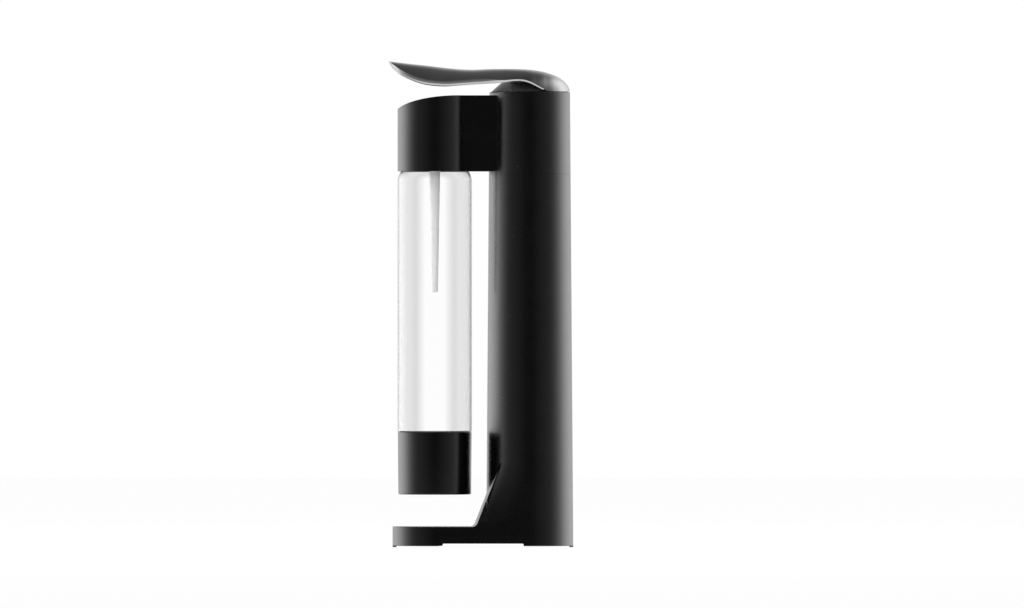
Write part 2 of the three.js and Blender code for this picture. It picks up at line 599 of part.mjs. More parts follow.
function makeLever() {
  const rows = 30;
  const columns = 12;
  const first = LEVER_TIP_X + 0.5;
  const last = LEVER_REAR_X - 0.35;
  const outer = [];
  const inner = [];
  for (let i = 0; i <= rows; i += 1) {
    const x = THREE.MathUtils.lerp(first, last, (1 - Math.cos((Math.PI * i) / rows)) / 2);
    for (let j = 0; j <= columns; j += 1) {
      const s = (2 * j) / columns - 1;
      const point = leverPoint(x, s);
      outer.push(point);
      inner.push(point.clone().addScaledVector(leverNormal(x, s), -LEVER_THICKNESS));
    }
  }
  const count = outer.length;
  const at = (i, j) => i * (columns + 1) + j;
  const faces = [];
  const quad = (a, b, c, d) => faces.push(a, b, c, a, c, d);
  for (let i = 0; i < rows; i += 1) {
    for (let j = 0; j < columns; j += 1) {
      quad(at(i, j), at(i + 1, j), at(i + 1, j + 1), at(i, j + 1));
      quad(count + at(i, j), count + at(i, j + 1), count + at(i + 1, j + 1), count + at(i + 1, j));
    }
    quad(at(i + 1, 0), at(i, 0), count + at(i, 0), count + at(i + 1, 0));
    quad(at(i, columns), at(i + 1, columns), count + at(i + 1, columns), count + at(i, columns));
  }
  for (let j = 0; j < columns; j += 1) {
    quad(at(0, j), at(0, j + 1), count + at(0, j + 1), count + at(0, j));
    quad(at(rows, j + 1), at(rows, j), count + at(rows, j), count + at(rows, j + 1));
  }
  const geometry = new THREE.BufferGeometry();
  const spots = [...outer, ...inner].flatMap((point) => point.toArray());
  geometry.setAttribute('position', new THREE.BufferAttribute(Float32Array.from(spots), 3));
  geometry.setIndex(faces);
  add('lever_shell', solid(geometry), FINISH.leverMetal);
}

// ---------------------------------------------------------------- head

function headTop(x) {
  const { from, run, drop } = HEAD_CROWN;
  const back = Math.min(1, Math.max(0, from - x) / run);
  return HEAD_TOP - drop * (1 - Math.sqrt(1 - back ** 2));
}

// The head without its hollow: a round drum and a neck under one roof line.
function headBlock(inset, bottom) {
  const plan = join(
    disc(HEAD_RADIUS - inset, bottom, HEAD_TOP + 1, HEAD_X, 0, ROUND),
    box(HEAD_X, COLUMN_X - 25, -NECK_HALF_WIDTH + inset, NECK_HALF_WIDTH - inset, bottom, HEAD_TOP + 1),
  );
  const stations = Array.from({ length: 13 }, (_, i) => HEAD_CROWN.from - (58 * i) / 12);
  const roof = stations.map((x) => [x, headTop(x) - inset]);
  return plan.intersect(slab([[30, bottom - 1], [30, HEAD_TOP - inset], ...roof, [-77, bottom - 1]], -40, 40));
}

const COLLAR = { inner: 21.6, outer: 26, bottom: 338.5, top: 357.5 };
const UNDERPLATE = { bottom: 338.5, top: 340.5 };
const collarScrews = [30, 150, 270].map((angle) => {
  const [dx, dy] = polar(23.8, angle);
  return [HEAD_X + dx, dy];
});

function makeHead() {
  const clearance = column(-GAP, 300, COLUMN_TOP);
  const hollow = headBlock(WALL, HEAD_BOTTOM - 2);
  add('head_housing', cut(headBlock(0, HEAD_BOTTOM), hollow, clearance), FINISH.glossBlack);
  const { bottom, top } = UNDERPLATE;
  add('head_underplate', cut(
    join(
      disc(HEAD_RADIUS - WALL - GAP, bottom, top, HEAD_X, 0, ROUND),
      box(HEAD_X, 12, -NECK_HALF_WIDTH + WALL + GAP, NECK_HALF_WIDTH - WALL - GAP, bottom, top),
    ),
    disc(COLLAR.outer + GAP, bottom - 1, top + 1, HEAD_X, 0, ROUND),
    clearance,
  ), FINISH.innerBlack);

  const ledges = LUG_ANGLES.map((angle) => sector(19.5, 23, angle - 34, angle + 34, 339.2, 342.4, HEAD_X));
  const pilot = ([x, y]) => disc(1.55, 346, 366, x, y, SMALL);
  add('bottle_collar', cut(
    join(ring(COLLAR.inner, COLLAR.outer, COLLAR.bottom, COLLAR.top, HEAD_X), ...ledges),
    ...collarScrews.map(pilot),
  ), FINISH.innerBlack);

  const holder = turned([
    [1.6, 358], [5.1, 358], [5.1, 345], [8, 345], [8, 357.8], [25.8, 357.8], [25.8, 361], [7, 361], [7, 368],
    [2.4, 368], [2.4, 364], [1.6, 364],
  ], HEAD_X, 0, 20);
  const reliefY = 13;
  add('nozzle_holder', cut(
    holder,
    ...collarScrews.map(pilot),
    disc(1.2, 356, 362, HEAD_X, reliefY, SMALL),
  ), FINISH.whitePlastic);
  add('nozzle_tube', turned([
    [1.2, NOZZLE_TIP], [2.85, NOZZLE_TIP], [4.8, HEAD_BOTTOM], [4.8, 357.7], [1.6, 357.7], [1.6, 300],
  ], HEAD_X, 0, 24), FINISH.frosted);
  add('bottle_seal', ring(15, 20.6, 355, COLLAR.top, HEAD_X), FINISH.rubber);

  const frameHole = (radius, y) => disc(radius, 360, 365, HEAD_X, y, 20);
  const legX = 18.3;
  add('chassis_frame', cut(
    join(
      disc(27, 361.3, 363.3, HEAD_X, 0, 28),
      box(HEAD_X, legX + 2.4, -13, 13, 361.3, 363.3),
      box(legX, legX + 2.4, -13, 13, 356, 392),
    ),
    frameHole(7.4, 0),
    frameHole(5.4, reliefY),
    ...collarScrews.map(([x, y]) => disc(1.7, 360, 365, x, y, SMALL)),
    barX(5.4, legX - 2, legX + 5, 0, GAS_LINE_Z),
    ...FRAME_SCREWS_Y.map((y) => barX(1.7, legX - 2, legX + 5, y, FRAME_SCREW_Z, SMALL)),
  ), FINISH.steel);
  FRAME_SCREWS_Y.forEach((y, i) => {
    const upright = screwSolid(0, 0, 0, { head: 2.6, headHeight: 1.7, shank: 1.3, length: 8, up: true });
    const lying = upright.rotate([0, 90, 0]).translate([legX - 0.1, y, FRAME_SCREW_Z]);
    add(`frame_screw_${i + 1}`, lying, FINISH.steel);
  });
  collarScrews.forEach(([x, y], i) => screw(
    `collar_screw_${i + 1}`, x, y, 363.4, { head: 2.5, headHeight: 1.6, shank: 1.25, length: 14 },
  ));

  add('relief_body', turned([
    [1.2, 361.3], [5, 361.3], [5, 378], [3.2, 378], [3.2, 364], [1.2, 364],
  ], HEAD_X, reliefY, 20), FINISH.brass);
  add('relief_poppet', turned([
    [0, 364.3], [2.8, 364.3], [2.8, 366.5], [1, 366.5], [1, 373], [0, 373],
  ], HEAD_X, reliefY, 16), FINISH.rubber);
  add('relief_spring', tube(new Helix(HEAD_X, reliefY, 367.3, 377.4, 2.2, 4.5), 0.4, 45, 5), FINISH.steel);
  add('relief_cap', turned([
    [1.5, 378.3], [5, 378.3], [5, 380.5], [1.5, 380.5],
  ], HEAD_X, reliefY, 20), FINISH.brass);
}

function makeGasLine() {
  const bend = 12;
  const path = new THREE.CurvePath();
  const corner = new THREE.Vector3(HEAD_X, 0, GAS_LINE_Z);
  const start = new THREE.Vector3(22, 0, GAS_LINE_Z);
  const beforeBend = new THREE.Vector3(HEAD_X + bend, 0, GAS_LINE_Z);
  const afterBend = new THREE.Vector3(HEAD_X, 0, GAS_LINE_Z - bend);
  path.add(new THREE.LineCurve3(start, beforeBend));
  path.add(new THREE.QuadraticBezierCurve3(beforeBend, corner, afterBend));
  path.add(new THREE.LineCurve3(afterBend, new THREE.Vector3(HEAD_X, 0, 364.6)));
  add('gas_line', tube(path, 2, 24), FINISH.frosted);
  const hex = new THREE.CylinderGeometry(4.8, 4.8, 8, 6);
  hex.rotateZ(Math.PI / 2);
  hex.translate(16.2, 0, GAS_LINE_Z);
  add('rear_fitting', cut(solid(hex), barX(2.35, 10, 24, 0, GAS_LINE_Z, 16)), FINISH.brass);
  add('front_fitting', cut(
    disc(4.8, 368.3, 373.5, HEAD_X, 0, 6),
    disc(2.4, 366, 376, HEAD_X, 0, 16),
  ), FINISH.brass);
}

// ---------------------------------------------------------------- bottle

function arcPoints(cx, cz, radius, from, to, steps) {
  return Array.from({ length: steps + 1 }, (_, i) => {
    const [dr, dz] = polar(radius, from + ((to - from) * i) / steps);
    return [cx + dr, cz + dz];
  });
}

function makeBottle() {
  const socket = CUP_RADIUS - 1.9 - GAP;      // the bottle's foot stands inside the cup
  const floor = CUP_BOTTOM + 4;
  const shoulder = [BOTTLE_NECK_RADIUS, SHOULDER_TOP - SHOULDER_RADIUS];    // centre of its rounding
  const outer = [
    [0, floor], ...arcPoints(socket - 9, floor + 9, 9, -90, 0, 4), [socket, CUP_TOP + GAP],
    [BOTTLE_RADIUS, CUP_TOP + GAP], ...arcPoints(...shoulder, SHOULDER_RADIUS, 0, 90, 8),
    [BOTTLE_NECK_RADIUS, BOTTLE_LIP],
  ];
  const inner = [
    [16.6, BOTTLE_LIP], [16.6, SHOULDER_TOP - BOTTLE_WALL],
    ...arcPoints(...shoulder, SHOULDER_RADIUS - BOTTLE_WALL, 90, 0, 6),
    [BOTTLE_RADIUS - BOTTLE_WALL, CUP_TOP + 4], [socket - BOTTLE_WALL, CUP_TOP - 2],
    ...arcPoints(socket - 9, floor + 9, 9 - BOTTLE_WALL, 0, -90, 4), [0, floor + BOTTLE_WALL],
  ];
  const lugs = LUG_ANGLES.map((angle) => sector(17.8, 21.2, angle - 18, angle + 18, 342.7, 346, HEAD_X));
  add('bottle_body', join(turned([...outer, ...inner], HEAD_X), ...lugs), FINISH.clear);

  const foot = CUP_RADIUS - 0.45;
  add('bottle_base_cup', turned([
    [0, CUP_BOTTOM + 1.6], [24, CUP_BOTTOM + 1.6], [26, CUP_BOTTOM], [foot - 1, CUP_BOTTOM],
    [foot, CUP_BOTTOM + 1],
    [CUP_RADIUS, CUP_TOP], [socket + GAP, CUP_TOP],
    ...arcPoints(socket - 9, floor + 9, 9 + GAP, 0, -90, 4), [0, floor - GAP],
  ], HEAD_X), FINISH.glossBlack);
}

makeLowerHousing();
makeUpperHousing();
makeFeet();
makeUnderside();
makeGasSupply();
makePress();
makeLever();
makeHead();
makeGasLine();
makeBottle();

export default carbonator;
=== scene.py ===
"""Looks of the soda carbonator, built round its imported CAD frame. Shapes are worked out in millimetres."""
import math

import bmesh
import bpy
import numpy as np
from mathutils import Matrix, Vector


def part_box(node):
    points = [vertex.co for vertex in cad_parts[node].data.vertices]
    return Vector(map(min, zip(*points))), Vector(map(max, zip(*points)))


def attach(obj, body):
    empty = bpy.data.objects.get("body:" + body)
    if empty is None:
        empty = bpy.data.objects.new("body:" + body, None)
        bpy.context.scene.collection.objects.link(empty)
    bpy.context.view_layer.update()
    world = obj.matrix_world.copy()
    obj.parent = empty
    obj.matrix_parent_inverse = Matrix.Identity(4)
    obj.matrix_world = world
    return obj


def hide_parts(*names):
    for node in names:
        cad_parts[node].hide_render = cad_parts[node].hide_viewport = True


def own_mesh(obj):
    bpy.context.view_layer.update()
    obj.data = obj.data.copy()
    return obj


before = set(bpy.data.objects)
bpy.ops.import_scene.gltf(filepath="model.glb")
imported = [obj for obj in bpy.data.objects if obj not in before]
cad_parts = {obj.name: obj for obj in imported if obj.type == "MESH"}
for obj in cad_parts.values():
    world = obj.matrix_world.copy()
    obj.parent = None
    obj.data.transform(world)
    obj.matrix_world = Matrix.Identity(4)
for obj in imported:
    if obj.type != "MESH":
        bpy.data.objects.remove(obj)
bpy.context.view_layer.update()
MM = 0.001


def box_mm(node):
    """Lowest and highest corner of a CAD node, in millimetres."""
    low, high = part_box(node)
    return np.array(low) / MM, np.array(high) / MM


def middle_x(node):
    low, high = box_mm(node)
    return (low[0] + high[0]) / 2


# ------------------------------------------------------------ driving dimensions, from the frame and in mm

COLUMN_X = middle_x("hatch_pad")
HEAD_X = middle_x("nozzle_tube")
RIM_Z = box_mm("main_housing")[0][2]
SEAM_Z = box_mm("main_housing")[1][2]
COLUMN_TOP = box_mm("upper_housing")[1][2]
COLUMN_TOP_RADIUS = 35.7
COLUMN_FOOT_RADIUS = box_mm("main_housing")[1][1]
COLUMN_EDGE = 0.7                    # rounding of the column's top edge
WALL = 2.2                           # thickness of the housings, the head and the cap

BASE_TOP = 18.2
BASE_RADIUS = 38.5
BASE_FRONT_X = -39.8
BASE_EDGE = 0.45                     # rounding of the slab's upper edge
RIM_EDGE = 0.35                      # ... and the chamfer of its lower one
NOTCH = (-34.0, 38.0, 3.3)           # from x, to x, height of the rim between them

FLARE_BOTTOM, FLARE_TOP = 22.5, 75.0
FLARE_X, FLARE_Z, FLARE_LEAN = 4.2, 46.0, 0.397    # a point of its front, and X per Z along it
LEAN_STRETCH = 1.08                  # an inset across that front, measured along X
FLARE_FILLET = 5.0
FLARE_BOW = 2.6                      # how far the flare's front bulges forward at its middle
FLARE_CREASE = 0.7                   # reach of the rounding between the flare's side and its front

HEAD_RADIUS = 32.9
HEAD_BOTTOM, HEAD_TOP = box_mm("head_housing")[0][2], box_mm("head_housing")[1][2]
CROWN_FROM, CROWN_RUN, CROWN_DROP = -18.5, 58.5, 18.0    # the top slopes down in front of this x
HEAD_EDGE, HEAD_INNER_EDGE = 0.9, 0.4
NECK_HALF_WIDTH = 20.7
NECK_STATIONS, NECK_END_X = (-4.0, 3.0, 8.0), 10.0
NECK_GAP = 0.1                       # between the end of the neck and the column

LEVER_TIP_X = -81.7
LEVER_REAR_X = 78.7
LEVER_THICKNESS = 3.0
LEVER_SEAT_Z = 403.1
LEVER_REAR_RADIUS = 35.5
LEVER_EDGE = 4.4                     # height of the rolled edge round the lever's blade
LEVER_NECK_EDGE = 1.8                # ... and of the edge behind it, where only the bright bevel is left
LEVER_EDGE_INSET = 1.1               # how far the foot of that edge lies inside its top
LEVER_EDGE_FULLNESS = 0.15           # how far it bulges
BRIGHT_FROM, BRIGHT_TO = 0.62, 0.93  # the bright bevel's share of the rolled edge
TIP_SHADE_RUN = (6, 30)                 # painted shade at the tip fades out, and the bevel turns bright, between these distances behind the tip


# ------------------------------------------------------------ shape helpers

def make_piece(name, points, faces, material, body, *nodes, sharp, finish=None):
    """A mesh object from points in mm, which rides on a body and replaces CAD nodes.

    It is smooth except at edges that turn by more than sharp degrees. finish gives each face's place
    in a list of materials.
    """
    mesh = bpy.data.meshes.new(name)
    mesh.from_pydata([tuple(p) for p in np.asarray(points) * MM], [], faces)
    for item in material if isinstance(material, list) else [material]:
        mesh.materials.append(item)
    if finish is not None:
        mesh.polygons.foreach_set("material_index", finish)
    work = bmesh.new()
    work.from_mesh(mesh)
    bmesh.ops.remove_doubles(work, verts=work.verts, dist=1e-7)
    bmesh.ops.dissolve_degenerate(work, edges=work.edges, dist=1e-7)
    bmesh.ops.recalc_face_normals(work, faces=work.faces)
    work.to_mesh(mesh)
    work.free()
    obj = bpy.data.objects.new(name, mesh)
    bpy.context.scene.collection.objects.link(obj)
    smooth(obj, sharp)
    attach(obj, body)
    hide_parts(*nodes)
    return obj


def smooth(obj, sharp):
    obj.data.shade_smooth()
    obj.data.set_sharp_from_angle(angle=math.radians(sharp))


def ring_faces(rings, count, closed=True):
    """Quads between successive rings of equal length; closed joins the last ring to the first."""
    faces = []
    for i in range(rings if closed else rings - 1):
        low, high = i * count, ((i + 1) % rings) * count
        for j in range(count):
            k = (j + 1) % count
            faces.append((low + j, low + k, high + k, high + j))
    return faces


def lathe(profile, x, segments=160):
    """Points and faces of a profile of (radius, z) turned about the vertical axis at x.

    It is closed, or starts and ends on the axis.
    """
    angles = np.linspace(0, 2 * math.pi, segments, endpoint=False)
    points = [(x + r * math.cos(a), r * math.sin(a), z) for r, z in profile for a in angles]
    closed = profile[0][0] > 0
    return points, ring_faces(len(profile), segments, closed)


def arc(cx, cz, radius, start, end, steps):
    """Points of an arc about (cx, cz), from start to end in degrees."""
    return [
        (cx + radius * math.cos(math.radians(a)), cz + radius * math.sin(math.radians(a)))
        for a in np.linspace(start, end, steps + 1)
    ]


def hermite(points):
    """A smooth function of x through (x, value) points."""
    xs, vs = np.array(points, float).T
    slopes = [
        (vs[min(i + 1, len(xs) - 1)] - vs[max(i - 1, 0)]) / (xs[min(i + 1, len(xs) - 1)] - xs[max(i - 1, 0)])
        for i in range(len(xs))
    ]

    def value(x):
        k = int(np.clip(np.searchsorted(xs, x, side="left") - 1, 0, len(xs) - 2))
        span = xs[k + 1] - xs[k]
        t = min(1.0, max(0.0, (x - xs[k]) / span))
        late = t * t * (3 - 2 * t)
        bend = slopes[k] * span * t * (1 - t) ** 2 - slopes[k + 1] * span * t * t * (1 - t)
        return vs[k] * (1 - late) + vs[k + 1] * late + bend

    return value


def band(above, below):
    """Quads between two closed loops of point numbers."""
    following = [(k + 1) % len(above) for k in range(len(above))]
    return [(above[k], below[k], below[n], above[n]) for k, n in enumerate(following)]


def smoothstep(low, high, x):
    """0 below low, 1 above high, and a smooth rise between them."""
    t = np.clip((x - low) / (high - low), 0, 1)
    return t * t * (3 - 2 * t)


def lerp(a, b, t):
    return a + (b - a) * t


# ------------------------------------------------------------ material helpers

class Shader:
    """A small wrapper round one material's node tree."""

    def __init__(self, name):
        self.material = bpy.data.materials.new(name)
        self.material.use_nodes = True
        self.nodes = self.material.node_tree.nodes
        self.links = self.material.node_tree.links
        self.bsdf = self.nodes["Principled BSDF"]

    def add(self, kind, **settings):
        node = self.nodes.new(kind)
        for key, value in settings.items():
            setattr(node, key, value)
        return node

    def set(self, **sockets):
        for key, value in sockets.items():
            self.bsdf.inputs[key.replace("_", " ")].default_value = value

    def noise(self, scale, detail, stretch=(1, 1, 1)):
        """Noise in object space; scale is in features per metre."""
        place = self.add("ShaderNodeTexCoord")
        mapping = self.add("ShaderNodeMapping")
        mapping.inputs["Scale"].default_value = stretch
        self.links.new(place.outputs["Object"], mapping.inputs["Vector"])
        texture = self.add("ShaderNodeTexNoise")
        texture.inputs["Scale"].default_value = scale
        texture.inputs["Detail"].default_value = detail
        self.links.new(mapping.outputs["Vector"], texture.inputs["Vector"])
        return texture.outputs["Fac"]

    def ramp(self, source, low, high):
        """Maps a noise value, which lies mostly between 0.3 and 0.7, onto low to high."""
        node = self.add("ShaderNodeMapRange")
        node.inputs["From Min"].default_value = 0.3
        node.inputs["From Max"].default_value = 0.7
        node.inputs["To Min"].default_value = low
        node.inputs["To Max"].default_value = high
        self.links.new(source, node.inputs["Value"])
        return node.outputs["Result"]

    def tint(self, source, dark, light):
        node = self.add("ShaderNodeMix", data_type="RGBA")
        node.inputs["A"].default_value = (*dark, 1)
        node.inputs["B"].default_value = (*light, 1)
        self.links.new(self.ramp(source, 0, 1), node.inputs["Factor"])
        self.links.new(node.outputs["Result"], self.bsdf.inputs["Base Color"])

    def rough(self, source, low, high):
        self.links.new(self.ramp(source, low, high), self.bsdf.inputs["Roughness"])

    def bump(self, source, height):
        node = self.add("ShaderNodeBump")
        node.inputs["Strength"].default_value = 1.0
        node.inputs["Distance"].default_value = height
        self.links.new(source, node.inputs["Height"])
        self.links.new(node.outputs["Normal"], self.bsdf.inputs["Normal"])


def place_stops(ramp, stops):
    """Fills a colour ramp with grey stops of (position, value)."""
    while len(ramp.elements) < len(stops):
        ramp.elements.new(0.5)
    for element, (position, value) in zip(ramp.elements, stops):
        element.position = position
        element.color = (value, value, value, 1)


def grey(value):
    return (value, value, value)


def moulded(name, dark, light, roughness, grain, height, spread=0.04, specular=0.5):
    """Moulded plastic: a slightly uneven gloss and a fine grain from the tool."""
    shader = Shader(name)
    shader.tint(shader.noise(35, 4), grey(dark), grey(light))
    shader.rough(shader.noise(60, 5), roughness - spread, roughness + spread)
    shader.bump(shader.noise(grain, 2), height)
    shader.set(IOR=1.5, Specular_IOR_Level=specular)
    return shader.material


def metal(name, dark, light, roughness, brushed=(1, 1, 1), grain=700, height=3e-6, spread=0.05):
    """Bare or plated metal, with fine marks that can run one way."""
    shader = Shader(name)
    marks = shader.noise(grain, 4, brushed)
    shader.tint(shader.noise(40, 3), dark, light)
    shader.rough(marks, roughness - spread, roughness + spread)
    shader.bump(marks, height)
    shader.set(Metallic=1.0)
    return shader.material


# Grey painted into the bottle's wall by how squarely it faces the view, from head on to edge on: clear, then
# a faint grey band, and dark at the rim. The band and the dark rim are painted reflection, not a tint of the
# wall.
PAINTED_BOTTLE_REFLECTIONS = [
    (0.0, 1.0), (0.025, 1.0), (0.066, 0.92), (0.12, 0.84), (0.2, 0.88), (0.27, 0.89), (0.35, 0.86),
    (0.46, 0.8), (0.57, 0.73), (0.67, 0.6), (0.76, 0.25), (0.85, 0.05), (1.0, 0.0),
]


def make_rim_metal():
    """The bevel round the lever: a lighter metal than the lever, darkened to the lever's own tone at the tip
    as painted shade, where the tip catches the studio light more strongly.
    """
    shader = Shader("lever_rim_bright")
    shader.tint(shader.noise(40, 3), grey(0.52), grey(0.6))
    place = shader.add("ShaderNodeTexCoord")
    axes = shader.add("ShaderNodeSeparateXYZ")
    shader.links.new(place.outputs["Object"], axes.inputs["Vector"])
    tip_shade = shader.add("ShaderNodeMapRange", interpolation_type="SMOOTHSTEP")
    tip_shade.inputs["From Min"].default_value = (LEVER_TIP_X + TIP_SHADE_RUN[0]) * MM
    tip_shade.inputs["From Max"].default_value = (LEVER_TIP_X + TIP_SHADE_RUN[1]) * MM
    shader.links.new(axes.outputs["X"], tip_shade.inputs["Value"])
    # Painted shade: towards the tip the bevel's colour falls to the lever's 0.2, holding back the strong
    # light it catches there.
    mix = shader.add("ShaderNodeMix", data_type="RGBA")
    mix.inputs["A"].default_value = (*grey(0.2), 1)
    shader.links.new(tip_shade.outputs["Result"], mix.inputs["Factor"])
    shader.links.new(shader.bsdf.inputs["Base Color"].links[0].from_socket, mix.inputs["B"])
    shader.links.new(mix.outputs["Result"], shader.bsdf.inputs["Base Color"])
    marks = shader.noise(1400, 4)
    shader.rough(marks, 0.17, 0.23)
    shader.bump(marks, 1e-6)
    shader.set(Metallic=1.0)
    return shader.material


def make_materials():
    m = {}
    m["housing"] = moulded("housing_satin_black", 0.0014, 0.002, 0.27, grain=1500, height=2e-6, spread=0.02)
    m["head"] = moulded("head_gloss_black", 0.0014, 0.002, 0.26, grain=700, height=1.5e-6, spread=0.02)
    m["cup"] = moulded("cup_gloss_black", 0.0014, 0.002, 0.26, grain=900, height=1.5e-6, spread=0.02)
    m["cap"] = moulded("cap_black", 0.026, 0.032, 0.25, grain=900, height=2e-6, spread=0.02)
    m["inner"] = moulded("inner_black", 0.025, 0.04, 0.5, grain=2500, height=1.2e-5)
    m["white"] = moulded("white_plastic", 0.72, 0.82, 0.4, grain=1200, height=5e-6)
    m["rubber"] = moulded("rubber", 0.018, 0.03, 0.8, grain=3500, height=2.5e-5, specular=0.3)
    m["steel"] = metal("steel", grey(0.55), grey(0.66), 0.3, brushed=(1, 6, 1))
    m["brass"] = metal("brass", (0.66, 0.49, 0.22), (0.8, 0.64, 0.33), 0.26, brushed=(1, 1, 8))
    m["lever"] = metal(
        "lever_satin_dark", grey(0.19), grey(0.22), 0.24, grain=1400, height=1.5e-6, spread=0.02,
    )
    m["lever_rim"] = make_rim_metal()
    m["lever_under"] = metal("lever_underside", grey(0.8), grey(0.86), 0.35, grain=900, height=6e-6)

    paint = Shader("gas_cylinder_paint")
    paint.tint(paint.noise(30, 4), (0.42, 0.46, 0.5), (0.5, 0.54, 0.58))
    paint.rough(paint.noise(90, 4), 0.32, 0.45)
    paint.bump(paint.noise(500, 3), 1.2e-5)
    paint.set(Coat_Weight=0.4, Coat_Roughness=0.2)
    m["gas_paint"] = paint.material

    clear = Shader("bottle_clear")
    # Painted reflection: the wall's colour greys in a band and darkens at the rim by how it faces the view.
    facing = clear.add("ShaderNodeLayerWeight")
    painted_bands = clear.add("ShaderNodeValToRGB")
    painted_bands.color_ramp.interpolation = "EASE"
    place_stops(painted_bands.color_ramp, PAINTED_BOTTLE_REFLECTIONS)
    clear.links.new(facing.outputs["Facing"], painted_bands.inputs["Fac"])
    clear.links.new(painted_bands.outputs["Color"], clear.bsdf.inputs["Base Color"])
    clear.rough(clear.noise(25, 3), 0.0, 0.01)
    clear.bump(clear.noise(10, 0, (1, 1, 0.15)), 3e-6)
    clear.set(Transmission_Weight=1.0, IOR=1.16)
    m["clear"] = clear.material

    frosted = Shader("nozzle_frosted")
    frosted.tint(frosted.noise(60, 3), grey(0.95), grey(0.99))
    frosted.rough(frosted.noise(200, 3), 0.26, 0.34)
    frosted.bump(frosted.noise(1500, 2), 1e-6)
    frosted.set(Transmission_Weight=0.1, IOR=1.1, Specular_IOR_Level=0.2)
    m["frosted"] = frosted.material
    return m


# ------------------------------------------------------------ housing: column, flare and slab in one skin

def column_radius(z):
    return lerp(COLUMN_FOOT_RADIUS, COLUMN_TOP_RADIUS, (z - RIM_Z) / (COLUMN_TOP - RIM_Z))


FLARE_TILT = math.atan2(1, FLARE_LEAN)
FILLET_REACH = FLARE_FILLET * math.tan(FLARE_TILT / 2)


def flare_front_x(z):
    """Front of the flare at height z: a leaning flat with a hollow fillet where it lands on the slab."""
    z = max(z, BASE_TOP)
    start = FLARE_X + (BASE_TOP - FLARE_Z) * FLARE_LEAN - FILLET_REACH
    rise = BASE_TOP + FLARE_FILLET - z
    if rise > 0 and z < BASE_TOP + FILLET_REACH * math.sin(FLARE_TILT):
        return start + math.sqrt(max(0.0, FLARE_FILLET ** 2 - rise ** 2))
    return FLARE_X + (z - FLARE_Z) * FLARE_LEAN


def section(x, y, z, inset, slab_inset):
    """Below zero inside the housing's outline at height z; slab_inset is None above the slab."""
    radius = column_radius(z)
    shape = np.hypot(x - COLUMN_X, y) - (radius - inset)
    if z < FLARE_TOP:
        t = np.clip((z - FLARE_BOTTOM) / (FLARE_TOP - FLARE_BOTTOM), 0, 1)
        round_width = np.sqrt(np.maximum(0, radius ** 2 - (COLUMN_X - x) ** 2))
        side = np.abs(y) - (lerp(radius, round_width, t) - inset)
        bow = FLARE_BOW * np.minimum(1, (y / lerp(radius, round_width, t)) ** 2)
        front = flare_front_x(z) + bow + inset * LEAN_STRETCH - x
        near = np.maximum(FLARE_CREASE - np.abs(side - front), 0) / FLARE_CREASE
        wedge = np.maximum(side, front) + near * near * FLARE_CREASE / 4
        shape = np.minimum(shape, np.maximum(wedge, x - COLUMN_X))
    if slab_inset is not None:
        along = np.clip(x, BASE_FRONT_X, COLUMN_X)
        shape = np.minimum(shape, np.hypot(x - along, y) - (BASE_RADIUS - slab_inset))
    return shape


OUTSIDE = 130.0                      # a radius that lies outside the whole outline
HALVINGS = 36                        # of it, when the outline is searched


def outline(angles, z, inset, slab_inset):
    """Radius of the outline from the column's axis at each angle; angle 0 points to the front."""
    low = np.zeros_like(angles)
    high = np.full_like(angles, OUTSIDE)
    for _ in range(HALVINGS):
        mid = (low + high) / 2
        inside = section(COLUMN_X - mid * np.cos(angles), mid * np.sin(angles), z, inset, slab_inset) < 0
        low = np.where(inside, mid, low)
        high = np.where(inside, high, mid)
    return (low + high) / 2


def notch_angles():
    """Angles at which the underside's notch starts and ends, each as a close pair."""
    corners = []
    for x in NOTCH[:2]:
        half_width = BASE_RADIUS if x < COLUMN_X else math.sqrt(BASE_RADIUS ** 2 - (x - COLUMN_X) ** 2)
        angle = math.atan2(half_width, COLUMN_X - x)
        corners += [angle - 1e-4, angle + 1e-4]
    return corners


WINDOW = (338.0, 396.0, 17.0)        # the neck's window: from z, to z, half its width
WINDOW_Z = 360.0                     # its width is measured here
SEAM_GAP = 0.12                      # open joint between the two housings
SEAM_EDGE = 0.05                     # ... and the rounding on both sides of it
SPIGOT = (0.4, 1.9)                  # how far the spigot's two faces lie inside the wall
SPIGOT_ROOT = 2.5                    # how far over the joint it starts
STEP = 1e-6                          # separates two levels that share a height


def housing_angles():
    """Angles of the housing's stations round the column, and how many lie inside the window's half."""
    window_half = math.asin(WINDOW[2] / column_radius(WINDOW_Z))
    # They lie close together where the flare's creases run.
    spread = np.concatenate([np.arange(0, 28, 1.2), np.arange(28, 56, 0.25), np.arange(56, 181, 1.2)])
    half = np.concatenate([np.radians(spread), notch_angles(), [window_half]])
    half = np.unique(np.clip(half, 0, math.pi))
    return np.concatenate([half, -half[1:-1][::-1]]), int(np.argmin(np.abs(half - window_half)))


def housing_ring(angles, z, inset=0.0, slab_inset=None):
    """One level of the housing, with the underside's notch lifted to the rim between the feet."""
    radius = outline(angles, z, inset, slab_inset)
    x = COLUMN_X - radius * np.cos(angles)
    lifted = (z < NOTCH[2]) & (x > NOTCH[0]) & (x < NOTCH[1])
    return np.stack([x, radius * np.sin(angles), np.where(lifted, NOTCH[2], z)], axis=1)


def quarter_round(radius, angles):
    """Steps of a rounded edge, as (distance below its top, inset), for angles in degrees."""
    return [(radius * (1 - math.sin(a)), radius * (1 - math.cos(a))) for a in np.radians(angles)]


